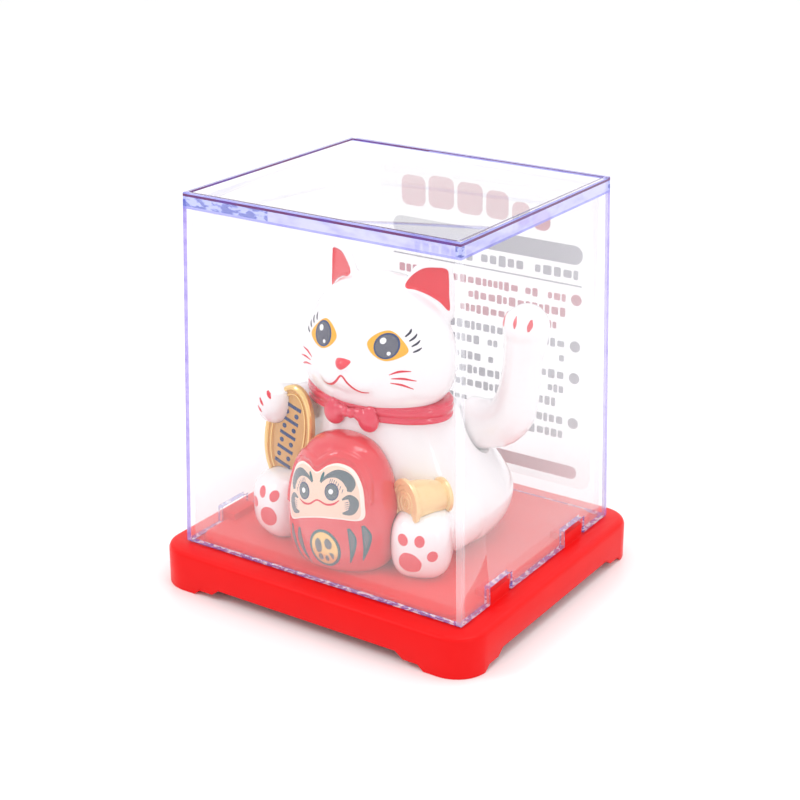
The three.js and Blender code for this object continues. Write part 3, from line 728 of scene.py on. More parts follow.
def curve_through(points: Sequence[Sequence[float]], steps: int, closed: bool = False) -> list[Vector]:
    """A smooth line through points of any size, by Catmull-Rom's rule.

    Args:
        points: the points.
        steps: how many stretches each gap is cut into.
        closed: whether the line runs back to its start.

    Returns:
        The line's points.
    """
    count = len(points)
    spans = count if closed else count - 1

    def at(index: int) -> Vector:
        return Vector(points[index % count] if closed else points[min(max(index, 0), count - 1)])

    line = []
    for span in range(spans):
        a, b, c, d = (at(span + k) for k in (-1, 0, 1, 2))
        for step in range(steps):
            t = step / steps
            line.append(0.5 * (2 * b + (c - a) * t + (2 * a - 5 * b + 4 * c - d) * t * t
                               + (3 * b - a - 3 * c + d) * t ** 3))
    if not closed:
        line.append(at(count - 1))
    return line


def ring_body(rings: Sequence[Point], x: float, inset: float = 0, steps: int = 4, sides: int = 64) -> Obj:
    """A closed body through level elliptical rings, extruded ring by ring.

    Args:
        rings: height, centre Y, half width and half depth of each ring, upwards.
        x: the X of every ring's centre.
        inset: how far the body is set in from its rings.
        steps: rings added between two given ones.
        sides: faces round it.

    Returns:
        The object.
    """
    line = curve_through(rings, steps)
    bpy.ops.mesh.primitive_circle_add(vertices=sides, radius=MM, fill_type="NGON")
    made = bpy.context.object

    def grow() -> None:
        here = Vector((0, 0, 0))
        size = Vector((1, 1, 1))
        for number, (z, y, a, b) in enumerate(line):
            if number:
                bpy.ops.mesh.extrude_region_move()
            lift = inset * (1 - 2 * number / (len(line) - 1))
            there = Vector((x, y, z + lift)) * MM
            wanted = Vector((max(a - inset, 0.4), max(b - inset, 0.4), 1))
            bpy.ops.transform.translate(value=there - here)
            bpy.ops.transform.resize(
                value=(wanted.x / size.x, wanted.y / size.y, 1), center_override=there)
            here, size = there, wanted
        bpy.ops.mesh.select_all(action="SELECT")
        bpy.ops.mesh.normals_make_consistent(inside=False)

    return edit(made, grow)


@dataclass(frozen=True)
class Sheet:
    """A flat drawing board in space: where its middle is and which way it faces.

    Yaw turns the board about Z from facing -Y, pitch tips it back to face upwards, and
    roll turns the drawing on it, anticlockwise to someone looking at it.
    """

    middle: tuple[float, float, float]
    yaw: float = 0
    pitch: float = 0
    roll: float = 0

    def matrix(self) -> Matrix:
        """From board millimetres, across, up and out, to metres in space."""
        turn = (Matrix.Rotation(math.radians(self.yaw), 4, "Z")
                @ Matrix.Rotation(math.radians(90 - self.pitch), 4, "X")
                @ Matrix.Rotation(math.radians(self.roll), 4, "Z"))
        return Matrix.Translation(Vector(self.middle) * MM) @ turn @ Matrix.Scale(MM, 4)


def oval(u: float, v: float, a: float, b: Optional[float] = None, turn: float = 0,
         count: int = 40) -> Outline:
    """An ellipse's outline.

    Args:
        u: its middle across.
        v: its middle up.
        a: its radius across.
        b: its radius up, the same if left out.
        turn: degrees anticlockwise.
        count: points.

    Returns:
        The outline.
    """
    b = a if b is None else b
    c, s = math.cos(math.radians(turn)), math.sin(math.radians(turn))
    points = []
    for step in range(count):
        angle = 2 * math.pi * step / count
        p, q = a * math.cos(angle), b * math.sin(angle)
        points.append((u + p * c - q * s, v + p * s + q * c))
    return points


def loop(points: Sequence[Point], steps: int = 6) -> Outline:
    """A smooth closed outline through a few points."""
    return [(p.x, p.y) for p in curve_through(points, steps, closed=True)]


def stroke(points: Sequence[Point], widths: Sequence[float], steps: int = 6) -> Outline:
    """A brush stroke's outline: a smooth line with a width at each point.

    Args:
        points: the brush's way.
        widths: the stroke's whole width at each point.
        steps: stretches between two points.

    Returns:
        The outline.
    """
    line = curve_through([(*point, width) for point, width in zip(points, widths)], steps)
    left, right = [], []
    for number, here in enumerate(line):
        before, after = line[max(number - 1, 0)], line[min(number + 1, len(line) - 1)]
        way = Vector((after.x - before.x, after.y - before.y)).normalized()
        half = max(here.z, 0.06) / 2
        left.append((here.x - way.y * half, here.y + way.x * half))
        right.append((here.x + way.y * half, here.y - way.x * half))
    return right + left[::-1]


def mirrored(outlines: Iterable[Outline]) -> list[Outline]:
    """The outlines and their mirror images across the drawing's middle."""
    both = []
    for outline in outlines:
        both += [outline, [(-u, v) for u, v in reversed(outline)]]
    return both


def prism(outline: Outline, sheet: Sheet, near: float, far: float) -> Obj:
    """A drawing's outline pushed through space.

    Args:
        outline: the outline.
        sheet: the board that it is drawn on.
        near: where it ends behind the board, as a negative distance.
        far: where it ends in front of the board.

    Returns:
        The closed object.
    """
    bpy.ops.mesh.primitive_circle_add(vertices=len(outline), radius=1, fill_type="NGON")
    made = bpy.context.object
    place = sheet.matrix()
    for vertex, (u, v) in zip(made.data.vertices, outline):
        vertex.co = place @ Vector((u, v, near))
    out = (place.to_3x3() @ Vector((0, 0, far - near)))

    def push() -> None:
        bpy.ops.mesh.extrude_region_move(TRANSFORM_OT_translate={"value": out})
        bpy.ops.mesh.select_all(action="SELECT")
        bpy.ops.mesh.normals_make_consistent(inside=False)

    return edit(made, push)


class Coat:
    """Paint on a form: a skin just proud of it, from which shapes are cut."""

    def __init__(self, host: Obj, lift: float, depth: float = 0.2) -> None:
        """Makes the skin.

        Args:
            host: the closed form that is painted.
            lift: how far the paint stands out.
            depth: how far it reaches in.
        """
        thick = lift + depth
        self.skin = modify(twin(host), "SOLIDIFY", thickness=thick * MM, offset=2 * lift / thick - 1)

    def paint(self, name: str, sheet: Sheet, outlines: Sequence[Outline], reach: tuple[float, float]) -> Obj:
        """Cuts one colour's shapes out of the skin.

        Args:
            name: the piece's name.
            sheet: the board that the shapes are drawn on.
            outlines: shapes that don't overlap.
            reach: how far behind and in front of the board they reach.

        Returns:
            The painted piece.
        """
        tool = bring_together([prism(outline, sheet, *reach) for outline in outlines])
        piece = carve(twin(self.skin), tool, "INTERSECT")
        piece.name = piece.data.name = name
        return smooth(piece, 40)

    def strip(self) -> None:
        """Removes the skin when nothing more is cut from it."""
        bpy.data.objects.remove(self.skin)


def smooth(piece: Obj, angle: float = 35) -> Obj:
    """Shades a piece smooth, with edges sharper than an angle kept.

    Args:
        piece: the object.
        angle: the angle in degrees.

    Returns:
        The same object.
    """
    pick(piece)
    bpy.ops.object.shade_smooth_by_angle(angle=math.radians(angle))
    return piece


class Workshop:
    """Hands finished pieces to the frame and logs them."""

    def __init__(self, palette: Palette) -> None:
        """Keeps the palette.

        Args:
            palette: the finishes.
        """
        self.palette = palette

    def deliver(self, piece: Obj, name: str, finish: Union[str, Sequence[str]], body: str, slot: str,
                replaces: Sequence[str] = ()) -> Obj:
        """Names, dresses and places one piece.

        Args:
            piece: the object.
            name: its name.
            finish: its finish or finishes.
            body: the body that it moves with.
            slot: the record's material slot; not used.
            replaces: the frame's nodes that it stands for.

        Returns:
            The same object.
        """
        piece.name = piece.data.name = name
        self.palette.dress(piece, *([finish] if isinstance(finish, str) else finish))
        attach(piece, body)
        if replaces:
            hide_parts(*replaces)
        LOG.info("%s: %d faces on %s", name, len(piece.data.polygons), body)
        return piece


# ------------------------------------------------------------------- the figure

FIGURE_X = -1.5
FIGURE = "figure"
ARM = "arm"
COVER = "cover"


@dataclass
class Body:
    """The cat's seated body: torso, legs, haunches, tail and the arm with the coin."""

    shop: Workshop
    sole: float = 12.4
    rings: tuple = (
        (12.4, 2.0, 22.5, 19.5), (14.4, 2.3, 26.0, 22.4), (19.5, 3.2, 29.0, 24.8), (25.0, 3.4, 29.2, 25.0),
        (33.0, 1.8, 24.8, 22.2), (41.5, -1.2, 20.8, 18.2), (47.5, -3.6, 18.4, 15.0), (54.0, -6.2, 16.0, 11.0))
    leg: tuple = ((20.4, -18.4, 20.0), (7.5, 8.2, 8.7), 24, 3.0)
    haunch: tuple = ((17.5, -5.0, 21.5), (11.0, 14.5, 9.2), 0, 2.2)
    seam_y: float = 8.0
    seam_gap: float = 0.05
    wall: float = 1.6

    def limb(self, side: int, place: tuple) -> Obj:
        """One leg or haunch.

        Args:
            side: 1 for +X and -1 for -X.
            place: centre, radii, turn and bluntness.

        Returns:
            The form.
        """
        (x, y, z), half, splay, blunt = place
        return ball((FIGURE_X + side * x, y, z), half, yaw=side * splay, blunt=blunt)

    def form(self) -> Obj:
        """The closed outer form, all in one."""
        forms = [ring_body(self.rings, FIGURE_X)]
        forms += [self.limb(side, place) for side in (-1, 1) for place in (self.leg, self.haunch)]
        forms += [
            ball((-9.0, 25.5, 18.5), (9.0, 5.6, 4.8)),
            ball((-19.0, -9.6, 45.0), (9.6, 5.2, 5.0), yaw=30),
            ball((-25.9, -16.9, 46.2), (5.0, 5.5, 6.3), roll=12),
        ]
        whole = fuse(forms, 0.5, 14)
        carve(whole, box((-60, -60, 0), (60, 60, self.sole)))
        return whole

    def build(self) -> Obj:
        """Makes the two shells and their paint, and returns the uncut form."""
        whole = self.form()
        self.paint(whole)
        cell = CellFrame()
        shell = carve(twin(whole), cell.block(cell.rim, -6, 0.9), "UNION")
        hollow = ring_body(self.rings, FIGURE_X, self.wall + 0.4, steps=2, sides=40)
        carve(hollow, box((-60, -60, 46.5), (60, 60, 80)))
        arm = WavingArm
        boss = rod((arm.face - 2.2, arm.pivot_y, arm.pivot_z), (60, arm.pivot_y, arm.pivot_z),
                   arm.recess + 1.6)
        carve(hollow, boss)
        carve(hollow, cell.block(cell.rim, -2.4, 5))
        for tool in (
            hollow,
            rod((arm.face, arm.pivot_y, arm.pivot_z), (60, arm.pivot_y, arm.pivot_z), arm.recess, sides=96),
            rod((0, arm.pivot_y, arm.pivot_z), (60, arm.pivot_y, arm.pivot_z), 1.4),
            cell.block(0.15, -1.2, 5),
            cell.block(-4.5, -20, 5),
            self.oval_tool(2.0, 20.9, 17.9, 0, self.sole + 3),
            self.oval_tool(Collar.y, 14.0, 7.4, 44, 60),
            box((-60, -60, Collar.z), (60, 60, 80)),
        ):
            carve(shell, tool)
        rear = twin(shell)
        half_gap = self.seam_gap / 2
        carve(shell, box((-60, self.seam_y - half_gap, 0), (60, 60, 80)))
        carve(rear, box((-60, -60, 0), (60, self.seam_y + half_gap, 80)))
        self.shop.deliver(smooth(shell), "body_front", "figure_white", FIGURE, "figure_white",
                          ["body_front_shell"])
        self.shop.deliver(smooth(rear), "body_rear", "figure_white", FIGURE, "figure_white",
                          ["body_rear_shell"])
        return whole

    def oval_tool(self, y: float, half_width: float, half_depth: float, low: float, high: float) -> Obj:
        """An upright elliptical tool on the figure's centre line.

        Args:
            y: its centre.
            half_width: its radius along X.
            half_depth: its radius along Y.
            low: its lower end.
            high: its upper end.

        Returns:
            The tool.
        """
        made = rod((0, 0, low), (0, 0, high), 1.0, sides=64)
        made.scale = (half_width, half_depth, 1)
        made.location = Vector((FIGURE_X, y, 0)) * MM
        return settle(made)

    def paint(self, whole: Obj) -> None:
        """Paw pads and claws.

        Args:
            whole: the body's closed form.
        """
        coat = Coat(whole, 0.06)
        for side, name in ((-1, "right"), (1, "left")):
            (x, y, z), _, splay, _ = self.leg
            sheet = Sheet((FIGURE_X + side * x, y, z), yaw=splay if side > 0 else -4)
            pads = [
                oval(-3.7, 3.3, 1.25, 1.45, 20), oval(0.4, 3.3, 1.25, 1.45), oval(3.5, -0.4, 1.25, 1.4, -20),
                loop([(-4.6, -1.6), (-3.3, 0.1), (-1.0, -0.2), (0.9, -2.2), (0.2, -4.5), (-2.4, -4.9),
                      (-4.3, -3.7)]),
            ]
            if side < 0:
                pads = [[(-u - 1.4, v + 1.3) for u, v in reversed(pad)] for pad in pads]
            piece = coat.paint(f"sole_pads_{name}", sheet, pads, (-1, 14))
            self.shop.deliver(piece, f"sole_pads_{name}", "pad_red", FIGURE, "collar_red")
        claws = [
            stroke([(-0.6, 3.4), (0.2, 2.5), (0.8, 1.7)], (0.3, 0.8, 0.2)),
            stroke([(-2.5, 1.4), (-1.7, 0.4), (-1.1, -0.3)], (0.3, 0.75, 0.2)),
            stroke([(-3.1, -0.9), (-2.4, -1.7), (-1.8, -2.3)], (0.3, 0.7, 0.2)),
        ]
        piece = coat.paint("coin_paw_claws", Sheet((-24.9, -16.8, 46.6)), claws, (0, 12))
        self.shop.deliver(piece, "coin_paw_claws", "paint_red", FIGURE, "collar_red")
        coat.strip()


@dataclass
class CellFrame:
    """The raised window on the cat's back that holds the solar cell."""

    middle: tuple = (FIGURE_X, 22.9, 34.6)
    width: float = 22.0
    height: float = 14.0
    tilt: float = 37.0
    rim: float = 1.8

    def block(self, margin: float, low: float, high: float) -> Obj:
        """A block in the cell's own axes.

        Args:
            margin: how far it passes the cell's sides.
            low: its underside, from the cell's face.
            high: its top, from the cell's face.

        Returns:
            The tool.
        """
        x, y = self.width / 2 + margin, self.height / 2 + margin
        made = box((-x, -y, low), (x, y, high))
        made.rotation_euler = (math.radians(self.tilt - 90), 0, 0)
        made.location = Vector(self.middle) * MM
        return settle(made)


@dataclass
class Head:
    """The head with its ears and painted face."""

    shop: Workshop
    rings: tuple = (
        (49.0, -8.2, 7.0, 5.0), (50.0, -8.2, 14.5, 9.6), (53.0, -8.0, 19.0, 12.2), (58.0, -7.6, 21.2, 14.0),
        (63.0, -7.2, 21.0, 14.2), (69.0, -6.8, 18.8, 13.4), (75.0, -6.2, 14.6, 11.2), (79.2, -6.0, 8.6, 7.2),
        (80.6, -6.0, 3.0, 2.6))
    ear_sheet: tuple = ((12.9, -5.4, 79.0), 31.0, 4.0)
    ear_outline: tuple = ((-5.3, 0.3), (-3.9, 2.8), (-1.2, 4.7), (1.8, 5.0), (4.6, 4.6), (5.1, 2.4),
                          (5.2, -1.6),
                          (5.3, -5.6), (2.9, -3.4), (0.2, -1.7), (-2.6, -0.5))
    seam_y: float = 1.0

    def sheet_of_ear(self, side: int) -> Sheet:
        """The board that one ear's front is drawn on."""
        (x, y, z), yaw, pitch = self.ear_sheet
        return Sheet((FIGURE_X + side * x, y, z), yaw=side * yaw, pitch=pitch)

    def ear(self, side: int) -> Obj:
        """One ear: a hull over balls, hollowed in front.

        Args:
            side: 1 for +X and -1 for -X.

        Returns:
            The closed form.
        """
        place = self.sheet_of_ear(side).matrix()
        knobs = ((-5.2, -0.6, -1.6, 1.4), (-2.4, 4.2, -1.3, 1.2), (0.9, 5.6, -1.2, 1.1),
                 (5.1, 4.9, -1.0, 1.0),
                 (5.6, 0.0, -1.4, 1.1), (4.8, -7.0, -2.4, 1.8), (-5.0, -5.0, -2.6, 2.4),
                 (1.0, -8.0, -3.0, 2.4))
        balls = []
        for u, v, w, radius in knobs:
            at = place @ Vector((side * u, v, w))
            balls.append(ball(at / MM, (radius,) * 3, fine=16))
        hull = edit(bring_together(balls), bpy.ops.mesh.convex_hull)
        return modify(hull, "REMESH", mode="VOXEL", voxel_size=0.35 * MM)

    def bowl(self, side: int) -> Obj:
        """The scoop in the front of one ear."""
        outline = [(side * u * 0.97, v * 0.97 + 0.1) for u, v in loop(self.ear_outline)]
        if side < 0:
            outline.reverse()
        return prism(outline, self.sheet_of_ear(side), -0.7, 6)

    def build(self) -> Obj:
        """Makes the two shells and the paint, and returns the uncut form."""
        forms = [
            ring_body(self.rings, FIGURE_X),
            ball((FIGURE_X, -18.2, 59.4), (8.4, 4.9, 5.6)),
            ball((FIGURE_X - 4.2, -18.0, 58.2), (4.8, 4.4, 3.8)),
            ball((FIGURE_X + 4.2, -18.0, 58.2), (4.8, 4.4, 3.8)),
            ball((FIGURE_X, -21.4, 62.0), (2.6, 2.5, 2.0)),
        ]
        skull = fuse(forms, 0.45, 16)
        ears = [self.ear(side) for side in (-1, 1)]
        whole = fuse([skull, *ears], 0.38, 5)
        for side in (-1, 1):
            carve(whole, self.bowl(side))
        modify(whole, "REMESH", mode="VOXEL", voxel_size=0.36 * MM)
        modify(whole, "SMOOTH", factor=0.5, iterations=3)
        self.paint(whole)
        self.shells(twin(whole))
        return whole

    def shells(self, shell: Obj) -> None:
        """Cuts the form into its front and rear shells.

        Args:
            shell: the closed form.
        """
        hollow = ring_body(self.rings, FIGURE_X, 2.2, steps=2, sides=40)
        carve(hollow, box((-60, -60, 0), (60, 60, 56.4)))
        carve(shell, hollow)
        body = Body(self.shop)
        carve(shell, body.oval_tool(Collar.y, 14.0, 7.4, 44, 58))
        carve(shell, box((-60, -60, 0), (60, 60, Collar.z + 0.1)))
        rear = twin(shell)
        carve(shell, box((-60, self.seam_y - 0.025, 0), (60, 60, 120)))
        carve(rear, box((-60, -60, 0), (60, self.seam_y + 0.025, 120)))
        self.shop.deliver(smooth(shell), "head_front", "figure_white", FIGURE, "figure_white",
                          ["head_front_shell"])
        self.shop.deliver(smooth(rear), "head_rear", "figure_white", FIGURE, "figure_white",
                          ["head_rear_shell"])

    def paint(self, whole: Obj) -> None:
        """Paints the face and the ears.

        Args:
            whole: the head's closed form.
        """
        face = Sheet((FIGURE_X, -10.0, 0.0))
        gaze = Sheet((FIGURE_X + 1.1, -10.0, 0.1))
        reach = (0.0, 20.0)
        deliver = self.shop.deliver
        low, mid, high = Coat(whole, 0.05), Coat(whole, 0.08), Coat(whole, 0.11)

        almond = loop([(4.3, 67.9), (6.0, 70.1), (8.8, 71.1), (11.4, 69.6), (13.6, 66.6), (11.5, 64.8),
                       (8.7, 64.2),
                       (5.9, 65.5)])
        deliver(low.paint("irises", gaze, mirrored([almond]), reach), "irises", "iris_yellow", FIGURE,
                "gold_paint")
        rim = oval(8.9, 67.6, 2.9, 3.0)
        deliver(mid.paint("pupil_rims", gaze, mirrored([rim]), reach), "pupil_rims", "line_navy", FIGURE,
                "black_plastic")
        pupils = [oval(side * 8.9, 67.6, 2.5, 2.6) for side in (-1, 1)]
        deliver(high.paint("pupils", gaze, pupils, reach), "pupils", "pupil_slate", FIGURE, "black_plastic")
        top = Coat(whole, 0.14)
        glints = [oval(side * 8.9 + u, v, r) for side in (-1, 1) for u, v,
                  r in ((-0.9, 68.8, 0.72), (0.8, 66.0, 0.45))]
        deliver(top.paint("glints", gaze, glints, reach), "glints", "paint_white", FIGURE, "figure_white")
        top.strip()

        lashes = [
            stroke([(12.9, 71.4), (12.9, 70.6), (12.3, 69.8)], (0.14, 0.5, 0.3)),
            stroke([(14.2, 70.3), (14.0, 69.5), (13.3, 68.8)], (0.14, 0.5, 0.3)),
            stroke([(15.1, 68.9), (14.8, 68.2), (14.0, 67.6)], (0.14, 0.5, 0.3)),
            stroke([(15.8, 67.2), (15.3, 66.7), (14.5, 66.3)], (0.14, 0.5, 0.3)),
        ]
        deliver(low.paint("lashes", gaze, mirrored(lashes), reach), "lashes", "lash_dark", FIGURE,
                "black_plastic")

        nose = loop([(-2.0, 63.3), (0.0, 63.8), (2.0, 63.3), (1.5, 62.1), (0.0, 61.3), (-1.5, 62.1)])
        deliver(mid.paint("nose", face, [nose], reach), "nose", "pad_red", FIGURE, "collar_red")
        lip = [(-6.9, 56.2), (-5.2, 55.9), (-3.4, 56.5), (-1.7, 57.9), (0.0, 59.6), (1.6, 57.9), (3.2, 56.4),
               (4.8, 55.8), (6.5, 55.9)]
        mouth = stroke(lip, (0.16, 0.46, 0.58, 0.55, 0.48, 0.55, 0.58, 0.46, 0.16))
        whiskers = [
            stroke([(11.3, 61.0), (13.4, 61.9), (15.8, 62.0)], (0.16, 0.52, 0.16)),
            stroke([(11.8, 60.1), (14.3, 60.2), (16.9, 59.6)], (0.16, 0.52, 0.16)),
            stroke([(11.6, 59.0), (14.1, 58.6), (16.3, 57.5)], (0.16, 0.52, 0.16)),
        ]
        lines = [mouth, *mirrored(whiskers)]
        deliver(low.paint("mouth_and_whiskers", face, lines, reach), "mouth_and_whiskers", "paint_red",
                FIGURE,
                "collar_red")
        for side, name in ((-1, "right"), (1, "left")):
            outline = [(side * u, v) for u, v in loop(self.ear_outline)]
            if side < 0:
                outline.reverse()
            piece = low.paint(f"ear_lining_{name}", self.sheet_of_ear(side), [outline], (-2.2, 3))
            deliver(piece, f"ear_lining_{name}", "ear_red", FIGURE, "collar_red")
        for coat in (low, mid, high):
            coat.strip()


@dataclass
class Collar:
    """The ribbed collar with its bow."""

    shop: Workshop
    y = -6.8
    z = 49.3
    half_width: float = 20.2
    half_depth: float = 12.4
    band: float = 5.0
    tilt: float = 2.0

    def build(self) -> None:
        """Makes the band, the bow's wings and the knot."""
        profile = ((-2.5, -0.9), (-2.1, -0.2), (-1.6, 0.0), (-1.0, -0.12), (-0.65, -0.5), (-0.3, -0.12),
                   (0.3, 0.0),
                   (1.0, 0.1), (1.35, -0.3), (1.7, 0.0), (2.2, -0.2), (2.55, -0.9))
        bpy.ops.mesh.primitive_circle_add(vertices=128, radius=1)
        ring = bpy.context.object
        for vertex in ring.data.vertices:
            vertex.co = self.rim_point(vertex.co, *profile[0][::-1])

        def wrap() -> None:
            here = profile[0]
            for height, out in profile[1:] + ((2.55, -self.band), (-2.5, -self.band), profile[0]):
                bpy.ops.mesh.extrude_region_move(
                    TRANSFORM_OT_translate={"value": (0, 0, (height - here[0]) * MM)})
                bpy.ops.transform.resize(value=(
                    (self.half_width + out) / (self.half_width + here[1]),
                    (self.half_depth + out) / (self.half_depth + here[1]), 1), center_override=(0, 0, 0))
                here = (height, out)
            bpy.ops.mesh.select_all(action="SELECT")
            bpy.ops.mesh.remove_doubles(threshold=0.01 * MM)
            bpy.ops.mesh.normals_make_consistent(inside=False)

        edit(ring, wrap)
        modify(ring, "SUBSURF", levels=1, render_levels=1)
        bow = self.bow()
        for piece in (ring, bow):
            piece.rotation_euler = (math.radians(-self.tilt), 0, 0)
            piece.location = Vector((FIGURE_X, self.y, self.z)) * MM
            settle(piece)
        self.shop.deliver(smooth(ring, 60), "collar_band", "collar_red", FIGURE, "collar_red", ["collar_bow"])
        self.shop.deliver(smooth(bow, 70), "bow", "collar_red", FIGURE, "collar_red")

    def rim_point(self, unit: Vector, out: float, height: float) -> Vector:
        """A point of the band.

        Args:
            unit: the direction on a unit circle.
            out: how far it stands out.
            height: its height.

        Returns:
            The point in metres.
        """
        return Vector((unit.x * (self.half_width + out), unit.y * (self.half_depth + out), height)) * MM

    def bow(self) -> Obj:
        """The bow: two pinched wings and a knot of two beads."""
        front = -self.half_depth
        forms = []
        for side in (-1, 1):
            forms += [
                ball((side * 5.0, front + 0.2, -1.9), (3.0, 1.5, 3.0), roll=side * 16, fine=32),
                ball((side * 3.0, front - 0.2, -0.9), (2.4, 1.2, 1.7), roll=side * 24, fine=32),
                ball((side * 5.2, front + 0.5, 0.6), (1.9, 1.1, 1.2), roll=side * -10, fine=24),
                ball((side * 0.75, front - 1.1, -0.5), (1.05, 1.0, 1.35), roll=side * 6, fine=24),
            ]
        whole = fuse(forms, 0.25, 4)
        dents = [ball((side * 4.6, front - 1.9, -0.4), (2.6, 0.7, 0.5), roll=side * 30,
                      fine=24) for side in (-1, 1)]
        for dent in dents:
            carve(whole, dent)
        modify(whole, "SMOOTH", factor=0.5, iterations=2)
        return whole


@dataclass
class WavingArm:
    """The raised arm that swings on its axle."""

    shop: Workshop
    pivot_y = 8.0
    pivot_z = 41.5
    face = 14.6
    recess = 7.1
    path: tuple = (
        (15.2, 41.5, 6.3), (20.5, 41.7, 6.3), (25.4, 43.6, 6.1), (28.4, 47.6, 5.7), (29.7, 53.5, 5.1),
        (30.5, 60.0, 4.9), (31.1, 65.5, 5.3), (31.3, 69.4, 5.6))

    def build(self) -> None:
        """Makes the arm and its claws."""
        forms = []
        line = curve_through(self.path, 3)
        for x, z, radius in line[2:]:
            forms.append(ball((x, self.pivot_y, z), (radius,) * 3, fine=32))
        stub = rod((self.path[0][0], self.pivot_y, self.pivot_z), (21, self.pivot_y, self.pivot_z), 6.3,
                   sides=64)
        forms += [stub, ball((31.3, self.pivot_y - 1.4, 69.6), (5.5, 4.6, 5.2))]
        whole = fuse(forms, 0.42, 10)
        carve(whole, box((0, -20, 20), (self.path[0][0], 40, 60)))
        coat = Coat(whole, 0.06)
        claws = [
            stroke([(-4.3, 2.8), (-4.1, 1.4), (-3.8, 0.2)], (0.3, 0.9, 0.3)),
            stroke([(-0.3, 3.4), (-0.2, 1.9), (-0.1, 0.6)], (0.3, 0.95, 0.3)),
            stroke([(3.3, 2.9), (3.4, 1.5), (3.2, 0.2)], (0.35, 1.1, 0.35)),
        ]
        sheet = Sheet((31.3, self.pivot_y, 69.8))
        piece = coat.paint("raised_paw_claws", sheet, claws, (0, 12))
        self.shop.deliver(piece, "raised_paw_claws", "paint_red", ARM, "collar_red")
        coat.strip()
        hollow = fuse([ball((x, self.pivot_y, z), (radius - 1.5,) * 3, fine=24) for x, z,
                       radius in line[5:-2]],
                      0.6, 2)
        carve(whole, hollow)
        carve(whole, rod((0, self.pivot_y, self.pivot_z), (21.5, self.pivot_y, self.pivot_z), 1.15))
        self.shop.deliver(smooth(whole), "raised_arm", "figure_white", ARM, "figure_white", ["waving_arm"])


# ------------------------------------------------------------- what it carries


